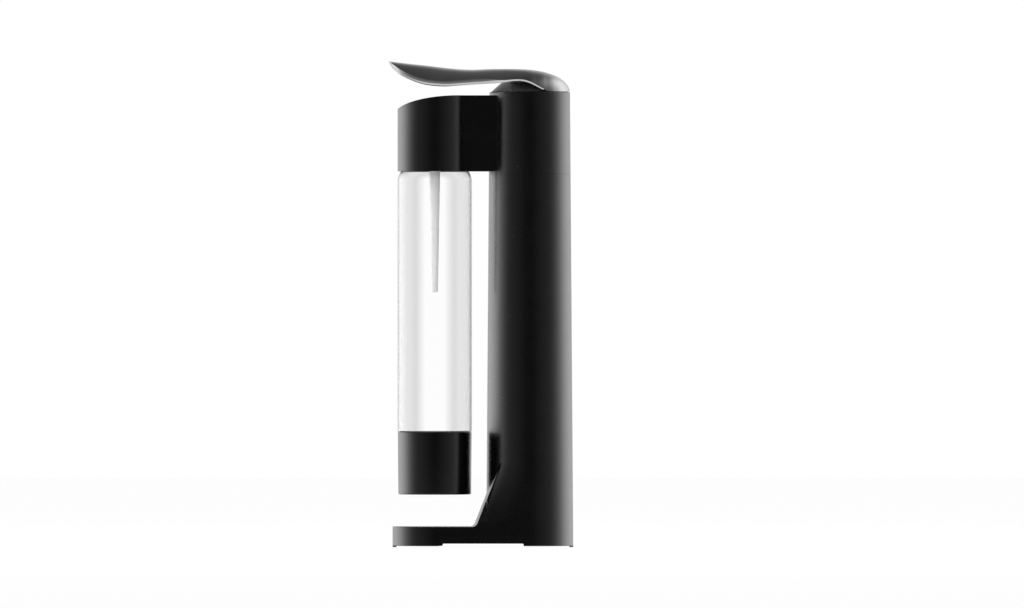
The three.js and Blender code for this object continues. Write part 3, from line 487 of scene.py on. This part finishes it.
def make_lower_housing(material, angles):
    # Outside, from the rim up over the slab's edge, the fillet and the flare to the joint.
    levels = [(RIM_Z, RIM_EDGE, RIM_EDGE), (RIM_Z + RIM_EDGE, 0, 0), (NOTCH[2], 0, 0), (8.0, 0, 0)]
    levels += [(BASE_TOP - BASE_EDGE, 0, 0)]
    for down, slab_inset in quarter_round(BASE_EDGE, (20, 40, 60, 75, 90)):
        levels.append((BASE_TOP - down - STEP, 0, slab_inset))
    levels.append((BASE_TOP + STEP,))
    for angle in np.radians((8, 16, 26, 37, 48, 58, math.degrees(FLARE_TILT))):
        levels.append((BASE_TOP + FLARE_FILLET * (1 - math.cos(angle)),))
    levels += [(z,) for z in (FLARE_BOTTOM, *np.arange(24.5, FLARE_TOP, 2.0), FLARE_TOP + 0.01, 100, 200)]
    levels += [(SEAM_Z - SEAM_EDGE,), (SEAM_Z, SEAM_EDGE), (SEAM_Z, WALL)]
    # Inside, and down again.
    levels += [(z, WALL) for z in (200, 100, FLARE_TOP, 66, 57, 48, 39, 30, FLARE_BOTTOM, 19)]
    levels += [(BASE_TOP - WALL + STEP, WALL)]
    levels += [(z, WALL, WALL) for z in (BASE_TOP - WALL - STEP, 9.0, NOTCH[2], RIM_Z)]
    rings = [housing_ring(angles, *level) for level in levels]
    faces = ring_faces(len(rings), len(angles))
    make_piece("housing_lower", np.concatenate(rings), faces, material, "stand", "main_housing", sharp=28)


def make_upper_housing(material, angles, reach):
    """The housing over the joint; reach is how many stations lie inside half of the neck's window."""
    count = len(angles)
    bottom = SEAM_Z + SEAM_GAP
    spigot_foot = box_mm("upper_housing")[0][2]
    spigot_out, spigot_in = WALL + SPIGOT[0], WALL + SPIGOT[1]
    outside = [(bottom, SEAM_EDGE), (bottom + SEAM_EDGE,), (WINDOW[0],), (WINDOW[1],)]
    outside += [(COLUMN_TOP - COLUMN_EDGE,)]
    outside += [(COLUMN_TOP - down, inset) for down, inset in quarter_round(COLUMN_EDGE, (25, 50, 75, 90))]
    inside = [(COLUMN_TOP, WALL), (WINDOW[1], WALL), (WINDOW[0], WALL), (bottom + SPIGOT_ROOT, WALL)]
    inside += [(bottom + SPIGOT_ROOT, spigot_in), (spigot_foot, spigot_in), (spigot_foot, spigot_out)]
    inside += [(bottom, spigot_out)]
    rings = [housing_ring(angles, *level) for level in outside + inside]
    outer_low, outer_high = 2, 3
    inner_high, inner_low = len(outside) + 1, len(outside) + 2

    # The window: no quads between its levels, and walls round it from the outer to the inner surface.
    faces = ring_faces(len(rings), count)
    across = [j % count for j in range(-reach, reach + 1)]
    opened = {(low, j) for low in (outer_low, inner_high) for j in across[:-1]}
    faces = [f for n, f in enumerate(faces) if (n // count, n % count) not in opened]
    for outer, inner in ((outer_low, inner_low), (outer_high, inner_high)):
        for j, k in zip(across[:-1], across[1:]):
            faces.append((outer * count + j, outer * count + k, inner * count + k, inner * count + j))
    for j in (across[0], across[-1]):
        corners = (outer_low, inner_low, inner_high, outer_high)
        faces.append(tuple(ring * count + j for ring in corners))
    make_piece("housing_upper", np.concatenate(rings), faces, material, "stand", "upper_housing", sharp=28)


# ------------------------------------------------------------ head

def head_top(x):
    back = min(1.0, max(0.0, CROWN_FROM - x) / CROWN_RUN)
    return HEAD_TOP - CROWN_DROP * (1 - math.sqrt(1 - back ** 2))


def head_half_width(x, inset):
    radius = HEAD_RADIUS - inset
    drum = math.sqrt(max(0.0, radius ** 2 - (x - HEAD_X) ** 2))
    return max(drum, NECK_HALF_WIDTH - inset) if x > HEAD_X else drum


def head_stations(inset):
    """Stations along the head: close together round the drum's front, then one where the neck starts."""
    radius = HEAD_RADIUS - inset
    join = math.degrees(math.asin((NECK_HALF_WIDTH - inset) / radius))
    angles = np.concatenate([[0.6], np.arange(3, 180 - join, 2.0), [180 - join]])
    stations = [HEAD_X - radius * math.cos(math.radians(a)) for a in angles]
    return stations + [stations[-1] + 0.02, *NECK_STATIONS]


def head_loop(x, inset, edge):
    """Outline of the head across X: up one side, over the rounded top edges and down the other."""
    half, top = head_half_width(x, inset), head_top(x) - inset
    edge = min(edge, half * 0.6)
    right = [(half, HEAD_BOTTOM), (half, lerp(HEAD_BOTTOM, top, 0.5))]
    right += [(half - edge + y, top - edge + z) for y, z in arc(0, 0, edge, 0, 90, 5)]
    right += [(lerp(half - edge, 0, t), top) for t in (0.35, 0.7, 1.0)]
    return [(x, y, z) for y, z in right + [(-y, z) for y, z in right[-2::-1]]]


def head_rows(inset, edge):
    """Outlines from the drum's front to the end of the neck, which is cut round the column."""
    rows = [head_loop(x, inset, edge) for x in head_stations(inset)]
    end = []
    for _, y, z in head_loop(NECK_END_X, inset, edge):
        end.append((COLUMN_X - math.sqrt((column_radius(z) + NECK_GAP) ** 2 - y ** 2), y, z))
    return rows + [end]


def fill_rows(rows, count):
    """Adds outlines between the first two until there are count of them."""
    while len(rows) < count:
        rows.insert(1, [tuple((np.array(a) + np.array(b)) / 2) for a, b in zip(rows[0], rows[1])])


def make_head(material):
    outer, inner = head_rows(0, HEAD_EDGE), head_rows(WALL, HEAD_INNER_EDGE)
    count, width = max(len(outer), len(inner)), len(outer[0])
    fill_rows(outer, count)
    fill_rows(inner, count)
    points = [p for row in outer + inner for p in row]
    skin = count * width             # what to add to an outer point's number for the inner one
    faces = []
    for i in range(count - 1):
        for j in range(width - 1):
            a, b = i * width + j, (i + 1) * width + j
            faces.append((a, b, b + 1, a + 1))
            faces.append((skin + a, skin + a + 1, skin + b + 1, skin + b))
        for j in (0, width - 1):
            a, b = i * width + j, (i + 1) * width + j
            faces.append((a, skin + a, skin + b, b))
    # The neck's end, then the drum's front outside, inside and along the lower edge.
    for j in range(width - 1):
        last = (count - 1) * width + j
        faces.append((last, last + 1, skin + last + 1, skin + last))
    faces.append(list(range(width)))
    faces.append([skin + j for j in range(width)][::-1])
    faces.append((0, skin, skin + width - 1, width - 1))
    make_piece("head_shell", points, faces, material, "stand", "head_housing", sharp=26)


# ------------------------------------------------------------ cap on the column, under the lever

CAP_FOOT_RADIUS, CAP_TOP_RADIUS, CAP_TOP = 34.0, 24.3, 411.6
CAP_EDGE = 0.6                       # rounding of the cap's top edge, cut twice
CAP_HOLE = 3.4                       # radius of the hole in its middle
PLUG_OUTER, PLUG_INNER = 33.1, 31.6  # radii of the ring that drops into the column
PLUG_BOTTOM = 397.6
HUB_SLOT = (53.2, 66.8, 9.9)         # opening for the lever's hub: from x, to x, half its width
SLOT_DEPTH = (400, 414)              # ... from z, to z
SCREW_Y, SCREW_HOLE = 19, 3.5        # the screws' distance from the middle, and their holes' radius


def make_cap(material):
    low, high = COLUMN_TOP + 0.05, CAP_TOP
    slope = (CAP_FOOT_RADIUS - CAP_TOP_RADIUS) / (high - low)
    profile = [(CAP_FOOT_RADIUS - 0.3, low), (CAP_FOOT_RADIUS, low + 0.3)]
    profile += [(CAP_TOP_RADIUS + CAP_EDGE * slope, high - CAP_EDGE), (CAP_TOP_RADIUS - 0.1, high - 0.1)]
    profile += [(CAP_TOP_RADIUS - CAP_EDGE, high), (CAP_HOLE, high), (CAP_HOLE, high - WALL)]
    profile += [(CAP_TOP_RADIUS - 0.9, high - WALL), (PLUG_INNER, COLUMN_TOP - 0.6)]
    profile += [(PLUG_INNER, PLUG_BOTTOM + 0.4), (PLUG_OUTER, PLUG_BOTTOM), (PLUG_OUTER, low)]
    points, faces = lathe(profile, COLUMN_X)
    cap = make_piece("cap", points, faces, material, "stand", "top_cap", sharp=30)

    cutter_mesh = bpy.data.meshes.new("cap_cutter")
    work = bmesh.new()
    x0, x1, half = HUB_SLOT
    z0, z1 = SLOT_DEPTH
    slot = bmesh.ops.create_cube(work, size=1.0)["verts"]
    bmesh.ops.scale(work, vec=Vector((x1 - x0, 2 * half, z1 - z0)) * MM, verts=slot)
    bmesh.ops.translate(work, vec=Vector((x0 + x1, 0, z0 + z1)) * MM / 2, verts=slot)
    for side in (-1, 1):
        radius = SCREW_HOLE * MM
        hole = bmesh.ops.create_cone(
            work, segments=40, radius1=radius, radius2=radius, depth=8 * MM, cap_ends=True,
        )["verts"]
        bmesh.ops.translate(work, vec=Vector((COLUMN_X, side * SCREW_Y, 412)) * MM, verts=hole)
    work.to_mesh(cutter_mesh)
    work.free()
    cutter = bpy.data.objects.new("cap_cutter", cutter_mesh)
    bpy.context.scene.collection.objects.link(cutter)
    carve(cap, cutter)
    smooth(cap, 30)


def carve(obj, cutter):
    """Cuts one closed mesh out of another and removes the cutter."""
    modifier = obj.modifiers.new("carve", "BOOLEAN")
    modifier.operation = "DIFFERENCE"
    modifier.solver = "EXACT"
    modifier.object = cutter
    bpy.context.view_layer.update()
    shaped = bpy.data.meshes.new_from_object(obj.evaluated_get(bpy.context.evaluated_depsgraph_get()))
    obj.modifiers.remove(modifier)
    obj.data = shaped
    bpy.data.objects.remove(cutter)


# ------------------------------------------------------------ lever

# Side view: height of the crown, and of the line that the rolled edge's foot follows.
crown_spline = hermite([
    (LEVER_TIP_X, 430), (-62.8, 427.7), (-45.1, 425.8), (-27.4, 423.7), (-9.6, 422.5), (8.1, 423.1),
    (20, 423.2),
])
rim_spline = hermite([
    (LEVER_TIP_X, 427.2), (-79.6, 424.1), (-76, 421.3), (-71.6, 418.2), (-62.8, 413.8), (-53.9, 410.6),
    (-45.1, 408.8), (-31.8, 407.9), (-18.5, 408.6), (-0.8, 409.9), (16.9, 410.8), (31, 411.9), (37.5, 411.6),
    (43.5, 409.9), (52.3, 405.3), (56.3, 403.6), (66, LEVER_SEAT_Z), (LEVER_REAR_X, LEVER_SEAT_Z),
])
BLADE_LENGTH, BLADE_HALF_WIDTH = 45.5, 32.0
LEVER_FRONT_X, LEVER_TOP_Z = box_mm("lever_shell")[0][0], box_mm("lever_shell")[1][2]
CIRCLE_FROM = 66.0                   # behind this the lever's plan is a circle about the column


def rear_circle(x):
    return math.sqrt(max(0.0, LEVER_REAR_RADIUS ** 2 - (x - COLUMN_X) ** 2))


# Plan view: half the width behind the blade.
waist_spline = hermite([
    (LEVER_TIP_X + BLADE_LENGTH, BLADE_HALF_WIDTH), (-18, 30.8), (0, 29.6), (17, 30.2), (30, 32.3),
    (40, 36.4), (50, 35.1), (58, rear_circle(58)), (CIRCLE_FROM, rear_circle(CIRCLE_FROM)),
    (74, rear_circle(74)),
])
ROLL_ENDS = (0.0, 25.0)              # the rolled edge turns into a plain bevel over this stretch
LANDING = (55.0, 58.5)               # ... and ends where the lever meets the column
HOOD = (18.0, 44.0)                  # the section turns from a shallow arch to a full hood over this stretch
HOOD_BASE = (-8.0, 89.0)             # the hood's own base sinks to the seat over this one; the rim trims it
ROUNDNESS = (2.4, 3.3)               # exponents of the section across, from blade to hood
FULLNESS = (1.0, 1.65)
REAR_FROM = 20.0                     # behind this the crown follows one curve down to the seat
REAR_RISE = crown_spline(REAR_FROM) - LEVER_SEAT_Z
REAR_BEND, REAR_FALL = 3, 0.559      # exponents of that curve
END_RUN = 12                         # the inner surface draws back from the lever's ends over this length
ROLL_BANDS, BEVEL_BANDS = 6, 4


def lever_crown(x):
    if x < REAR_FROM:
        return min(crown_spline(x), LEVER_TOP_Z)
    u = min(1.0, (x - REAR_FROM) / (LEVER_REAR_X + 0.1 - REAR_FROM))
    return LEVER_SEAT_Z + REAR_RISE * (1 - u ** REAR_BEND) ** REAR_FALL


def lever_half_width(x):
    blade = (x - LEVER_TIP_X) / BLADE_LENGTH
    if blade < 1:
        return BLADE_HALF_WIDTH * math.sqrt(max(0.0, 1 - (1 - blade) ** 2))
    return waist_spline(x) if x < CIRCLE_FROM else rear_circle(x)


def lever_row(x, across, inner):
    """Points of the lever's outer or inner surface across X; across runs from -1 to 1.

    The inner surface starts at the foot of the bright bevel, which fades out where the lever meets
    the column.
    """
    hood = smoothstep(*HOOD, x)
    roundness, fullness = lerp(*ROUNDNESS, hood), lerp(*FULLNESS, hood)
    landed = smoothstep(*LANDING, x)
    crown = lever_crown(x)
    height = lerp(LEVER_EDGE, LEVER_NECK_EDGE, smoothstep(*ROLL_ENDS, x)) * (1 - landed)
    edge = min(rim_spline(x) + height, crown)
    base = lerp(edge, LEVER_SEAT_Z, smoothstep(*HOOD_BASE, x))
    trim = np.clip((edge - base) / max(crown - base, 1e-6), 0, 1)
    reach = (1 - trim ** fullness) ** (1 / roundness)
    half = lever_half_width(x) * reach
    if inner:
        half = max(0.05, half - lerp(LEVER_EDGE_INSET, LEVER_THICKNESS, landed))
        base, reach = min(rim_spline(x), edge), 1.0
        crown = max(base + 0.05, crown - LEVER_THICKNESS)
        x += LEVER_EDGE_INSET * (1 - smoothstep(0, END_RUN, x - LEVER_TIP_X))
        x -= LEVER_THICKNESS * smoothstep(-END_RUN, 0, x - LEVER_REAR_X)
    arch = np.maximum(0, 1 - np.abs(across * reach) ** roundness) ** (1 / fullness)
    return np.stack([np.full_like(across, x), half * across, base + (crown - base) * arch], axis=1)


def make_lever(materials):
    rows, columns = 200, 72
    turn = np.linspace(0, math.pi, rows + 1)
    stations = lerp(LEVER_FRONT_X, LEVER_REAR_X - 0.02, (1 - np.cos(turn)) / 2)
    across = np.sin(np.linspace(-1, 1, columns + 1) * math.pi / 2)
    outer = np.concatenate([lever_row(x, across, inner=False) for x in stations])
    inner = np.concatenate([lever_row(x, across, inner=True) for x in stations])
    grid = np.arange(len(outer)).reshape(rows + 1, columns + 1)
    size = grid.size
    faces = []
    for i in range(rows):
        for j in range(columns):
            a, b, c, d = grid[i, j], grid[i + 1, j], grid[i + 1, j + 1], grid[i, j + 1]
            faces += [(a, b, c, d), (size + a, size + d, size + c, size + b)]
    finish = [0, 1] * (len(faces) // 2)

    # The edge: bands from the outer surface down to the inner one. They roll under along the blade,
    # then comes the bright bevel, and last a thin dull foot.
    loop = np.concatenate([grid[:-1, 0], grid[-1, :-1], grid[:0:-1, -1], grid[0, :0:-1]])
    count = len(loop)
    x = outer[loop][:, 0]
    on_blade = 1 - smoothstep(*ROLL_ENDS, x)
    fullness = LEVER_EDGE_FULLNESS * (1 - smoothstep(*LANDING, x))
    along = np.roll(outer[loop], -2, axis=0) - np.roll(outer[loop], 2, axis=0)
    out = np.stack([along[:, 1], -along[:, 0], np.zeros(count)], axis=1)
    out *= (fullness / np.maximum(np.linalg.norm(out, axis=1), 1e-9))[:, None]
    points = [outer, inner]
    shares = [((k + 1) / ROLL_BANDS, 0.0) for k in range(ROLL_BANDS)]
    shares += [(1.0, (k + 1) / BEVEL_BANDS) for k in range(BEVEL_BANDS)]
    previous = list(loop)
    for n, (roll, bevel) in enumerate(shares):
        depth = BRIGHT_FROM * on_blade * roll
        depth = (depth + (BRIGHT_TO - depth) * bevel)[:, None]
        points.append(lerp(outer[loop], inner[loop], depth) + out * 4 * depth * (1 - depth))
        current = [2 * size + n * count + k for k in range(count)]
        faces += band(previous, current)
        finish += [2 if bevel else 0] * count
        previous = current
    faces += band(previous, [size + v for v in loop])
    finish += [0] * count
    points = np.concatenate(points)
    make_piece("lever_blade", points, faces, materials, "lever", "lever_shell", sharp=40, finish=finish)


# ------------------------------------------------------------ bottle, cup and nozzle

BOTTLE_RADIUS, BOTTLE_WALL = 33.0, 0.5
CUP_TOP, CUP_EDGE = box_mm("bottle_base_cup")[1][2], 0.7
SOCKET, SOCKET_FLOOR, SOCKET_ROUND = 30.85, 50.2, 9.3    # the cup's hollow: radius, floor, rounding


def make_bottle(material):
    lip = box_mm("bottle_body")[1][2]
    shoulder, shoulder_z = 14.0, 337.7           # radius of the shoulder's round, and its highest point
    neck, neck_wall = 19.0, 2.4
    radius, wall, edge = BOTTLE_RADIUS, BOTTLE_WALL, 0.5
    foot, foot_round = SOCKET - 0.25, 9          # the part that stands in the cup
    floor_z, seat_z = SOCKET_FLOOR + 0.3, CUP_TOP + 0.15
    profile = [(0.0, floor_z), *arc(foot - foot_round, floor_z + foot_round, foot_round, -90, 0, 10)]
    profile += [(foot, seat_z - 0.2), (foot + 0.6, seat_z), (radius - edge, seat_z), (radius, seat_z + edge)]
    profile += [(radius, 180), (radius, 260)]
    profile += arc(neck, shoulder_z - shoulder, shoulder, 0, 88, 24)
    profile += [(neck, shoulder_z + 0.4), (neck, lip - edge), (neck - edge, lip)]
    # The inside, from the lip down.
    inner_neck = neck - neck_wall
    profile += [(inner_neck + edge, lip), (inner_neck, lip - edge), (inner_neck, shoulder_z - wall)]
    profile += arc(neck, shoulder_z - shoulder, shoulder - wall, 90, 0, 24)
    profile += [(radius - wall, 260), (radius - wall, 180), (radius - wall, seat_z + 0.6)]
    profile += [(foot - wall, seat_z - 0.4)]
    profile += arc(foot - foot_round, floor_z + foot_round, foot_round - wall, 0, -90, 10)
    profile += [(0.0, floor_z + wall)]
    points, faces = lathe(profile, HEAD_X, segments=192)
    bottle = make_piece("bottle_shell", points, faces, material, "bottle", "bottle_body", sharp=30)
    bottle.visible_glossy = False    # a clear wall is too faint to show in the gloss beside it


def make_cup(material):
    low, high = box_mm("bottle_base_cup")
    bottom, radius = low[2], high[1]
    foot, foot_round = radius - 0.45, 1.2
    hollow = bottom + 1.6            # the underside inside the ring it stands on
    profile = [(0.0, hollow), (23.5, hollow), (25.2, bottom + 0.3), (26.2, bottom)]
    profile += [(foot - foot_round, bottom)]
    profile += arc(foot - foot_round, bottom + foot_round, foot_round, -90, 0, 6)
    profile += [*arc(radius - CUP_EDGE, CUP_TOP - CUP_EDGE, CUP_EDGE, 0, 90, 8), (SOCKET, CUP_TOP - 0.4)]
    profile += arc(SOCKET - SOCKET_ROUND, SOCKET_FLOOR + SOCKET_ROUND, SOCKET_ROUND, 0, -90, 8)
    profile += [(0.0, SOCKET_FLOOR)]
    points, faces = lathe(profile, HEAD_X, segments=192)
    make_piece("base_cup", points, faces, material, "bottle", "bottle_base_cup", sharp=30)


def make_nozzle(material):
    """The tube, which widens from its tip up to the head and keeps that width inside it."""
    low, high = box_mm("nozzle_tube")
    tip, top = low[2], high[2]
    width, bore, tip_bore = 4.8, 1.6, 1.2
    profile = [(tip_bore, tip), (2.45, tip), (2.85, tip + 0.4), (width, HEAD_BOTTOM), (width, top)]
    profile += [(bore, top), (bore, 300)]
    points, faces = lathe(profile, HEAD_X, segments=64)
    make_piece("nozzle", points, faces, material, "stand", "nozzle_tube", sharp=30)


# ------------------------------------------------------------ springs

def make_spring(name, node, material):
    """A copy of a CAD node's coil spring, in the given material, riding on the stand in the node's place.
    """
    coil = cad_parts[node]
    obj = bpy.data.objects.new(name, coil.data.copy())
    bpy.context.scene.collection.objects.link(obj)
    obj.data.materials.clear()
    obj.data.materials.append(material)
    smooth(obj, 40)
    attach(obj, "stand")
    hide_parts(node)
    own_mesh(obj)


# ------------------------------------------------------------ stage, light and camera

# What glossy surfaces see level with the object, from the front (-Y) to the back: dark in front, soft
# boxes at the sides, white behind.
STUDIO_RING = [
    (0.0, 0.02), (0.008, 0.05), (0.038, 0.145), (0.09, 0.235), (0.16, 0.31), (0.228, 0.37), (0.265, 0.46),
    (0.345, 0.79), (0.448, 1.65), (0.517, 2.25), (0.612, 3.5), (0.7, 3.75), (0.75, 3.5), (0.87, 2.6),
    (0.933, 1.5), (1.0, 1.0),
]
RING_FULL = 4.0                      # the ring's strength where its ramp is at 1


def make_world():
    """Pale to the camera, even to diffuse rays, and a studio with soft boxes to glossy ones."""
    world = bpy.data.worlds.new("studio")
    bpy.context.scene.world = world
    world.use_nodes = True
    nodes, links = world.node_tree.nodes, world.node_tree.links
    nodes.clear()
    out = nodes.new("ShaderNodeOutputWorld")
    ray = nodes.new("ShaderNodeLightPath")
    place = nodes.new("ShaderNodeTexCoord")
    axes = nodes.new("ShaderNodeSeparateXYZ")
    links.new(place.outputs["Generated"], axes.inputs["Vector"])

    def backdrop(strength):
        node = nodes.new("ShaderNodeBackground")
        node.inputs["Color"].default_value = (1, 1, 1, 1)
        node.inputs["Strength"].default_value = strength
        return node

    def remap(source, low, high, to_low, to_high, kind="LINEAR"):
        node = nodes.new("ShaderNodeMapRange")
        node.interpolation_type = kind
        for socket, value in zip(("From Min", "From Max", "To Min", "To Max"), (low, high, to_low, to_high)):
            node.inputs[socket].default_value = value
        links.new(source, node.inputs["Value"])
        return node.outputs["Result"]

    def mix(factor, first, second):
        """A shader that shows the first where factor is 0 and the second where it is 1."""
        node = nodes.new("ShaderNodeMixShader")
        links.new(factor, node.inputs["Fac"])
        links.new(first, node.inputs[1])
        links.new(second, node.inputs[2])
        return node.outputs["Shader"]

    ring = nodes.new("ShaderNodeValToRGB")
    place_stops(ring.color_ramp, [(position, value / RING_FULL) for position, value in STUDIO_RING])
    links.new(remap(axes.outputs["Y"], -1, 1, 0, 1), ring.inputs["Fac"])
    level = backdrop(RING_FULL)
    links.new(ring.outputs["Color"], level.inputs["Color"])

    overhead = backdrop(0.3)
    links.new(remap(axes.outputs["Y"], -0.8, 0.8, 0.08, 0.27), overhead.inputs["Strength"])
    # The right-hand soft box reaches higher than the left one.
    lean = nodes.new("ShaderNodeMath")
    lean.operation = "SUBTRACT"
    links.new(axes.outputs["Z"], lean.inputs[0])
    links.new(remap(axes.outputs["X"], 0, 0.6, 0, 0.45), lean.inputs[1])
    raised = remap(lean.outputs["Value"], 0.05, 0.65, 0, 1, "SMOOTHSTEP")
    upper = mix(raised, level.outputs["Background"], overhead.outputs["Background"])
    lowered = remap(axes.outputs["Z"], -0.1, -0.6, 0, 1, "SMOOTHSTEP")
    glossy = mix(lowered, upper, backdrop(1.0).outputs["Background"])

    shown = nodes.new("ShaderNodeMath")
    shown.operation = "MAXIMUM"
    links.new(ray.outputs["Is Camera Ray"], shown.inputs[0])
    links.new(ray.outputs["Is Transmission Ray"], shown.inputs[1])

    lit = mix(ray.outputs["Is Glossy Ray"], backdrop(0.6).outputs["Background"], glossy)
    total = mix(shown.outputs["Value"], lit, backdrop(1.0).outputs["Background"])
    links.new(total, out.inputs["Surface"])


def make_floor():
    """A pale floor that mostly glows for the camera and takes the object's shadow with the rest."""
    reach, glow_share, glow_strength = 8.0, 0.85, 1.06
    mesh = bpy.data.meshes.new("floor")
    corners = [(-reach, -reach, 0), (reach, -reach, 0), (reach, reach, 0), (-reach, reach, 0)]
    mesh.from_pydata(corners, [], [(0, 1, 2, 3)])
    floor = bpy.data.objects.new("floor", mesh)
    bpy.context.scene.collection.objects.link(floor)
    shader = Shader("floor_pale")
    shader.set(Base_Color=(0.9, 0.9, 0.9, 1), Roughness=0.7, Specular_IOR_Level=0.2)
    ray = shader.add("ShaderNodeLightPath")
    share = shader.add("ShaderNodeMath", operation="MULTIPLY")
    share.inputs[1].default_value = glow_share
    shader.links.new(ray.outputs["Is Camera Ray"], share.inputs[0])
    glow = shader.add("ShaderNodeEmission")
    glow.inputs["Strength"].default_value = glow_strength
    seen = shader.add("ShaderNodeMixShader")
    shader.links.new(share.outputs["Value"], seen.inputs["Fac"])
    shader.links.new(shader.bsdf.outputs["BSDF"], seen.inputs[1])
    shader.links.new(glow.outputs["Emission"], seen.inputs[2])
    # Glossy rays pass through to the world, which holds what they see below the object.
    mirrored = shader.add("ShaderNodeMixShader")
    shader.links.new(ray.outputs["Is Glossy Ray"], mirrored.inputs["Fac"])
    shader.links.new(seen.outputs["Shader"], mirrored.inputs[1])
    shader.links.new(shader.add("ShaderNodeBsdfTransparent").outputs["BSDF"], mirrored.inputs[2])
    shader.links.new(mirrored.outputs["Shader"], shader.nodes["Material Output"].inputs["Surface"])
    mesh.materials.append(shader.material)


def make_lamp(name, place, aim, width, height, power):
    """An area lamp that no mirror image shows: the world holds what glossy surfaces see."""
    data = bpy.data.lights.new(name, "AREA")
    data.shape = "RECTANGLE"
    data.size, data.size_y, data.energy = width, height, power
    lamp = bpy.data.objects.new(name, data)
    lamp.location = place
    lamp.rotation_euler = (Vector(aim) - Vector(place)).to_track_quat("-Z", "Y").to_euler()
    lamp.visible_glossy = False
    lamp.visible_camera = False
    bpy.context.scene.collection.objects.link(lamp)


def make_camera():
    """Straight in front and far away; frame_width is what it sees at the object, in metres."""
    distance, frame_width, sensor = 20.0, 0.9065, 36.0
    aim_x, aim_z = 0.0275, 0.2151
    data = bpy.data.cameras.new("camera")
    data.sensor_width = sensor
    data.lens = sensor * distance / frame_width
    data.clip_end = 100
    camera = bpy.data.objects.new("camera", data)
    camera.location = (aim_x, -distance, aim_z)
    camera.rotation_euler = (math.pi / 2, 0, 0)
    bpy.context.scene.collection.objects.link(camera)
    bpy.context.scene.camera = camera


# ------------------------------------------------------------ put together

INNER_FINISH = {
    "inner": [
        "bottom_plate", "cylinder_hatch", "cylinder_guide", "lever_hub", "head_underplate", "bottle_collar",
    ],
    "rubber": [
        "front_foot", "rear_foot", "hatch_pad", "valve_seal", "rod_o_ring", "bottle_seal", "relief_poppet",
    ],
    "white": ["press_rod", "nozzle_holder"],
    "frosted": ["gas_line"],
    "brass": ["cylinder_valve", "valve_block", "relief_body", "relief_cap", "rear_fitting", "front_fitting"],
    "gas_paint": ["co2_cylinder"],
}


def dress_cad_nodes(materials):
    """Gives each CAD node that stays visible its finish; what isn't named is steel."""
    finish = {node: key for key, nodes in INNER_FINISH.items() for node in nodes}
    for name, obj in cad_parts.items():
        material = materials[finish.get(name, "steel")]
        for slot in obj.material_slots:
            slot.material = material


make_camera()
make_world()
make_floor()
make_lamp("left_softbox", (-1.3, 0.4, 0.5), (0, 0, 0.22), 0.8, 1.4, 9.0)
make_lamp("right_softbox", (1.3, 0.4, 0.5), (0, 0, 0.22), 0.8, 1.4, 9.0)
make_lamp("top_softbox", (0, -0.3, 1.6), (0, 0, 0.2), 1.4, 1.2, 10.0)

materials = make_materials()
dress_cad_nodes(materials)
stations, window_reach = housing_angles()
make_lower_housing(materials["housing"], stations)
make_upper_housing(materials["housing"], stations, window_reach)
make_head(materials["head"])
make_cap(materials["cap"])
make_lever([materials["lever"], materials["lever_under"], materials["lever_rim"]])
make_bottle(materials["clear"])
make_cup(materials["cup"])
make_nozzle(materials["frosted"])
make_spring("press_spring", "rod_spring", materials["steel"])
make_spring("safety_spring", "relief_spring", materials["steel"])

bpy.context.scene.view_settings.view_transform = "Standard"
bpy.context.view_layer.update()
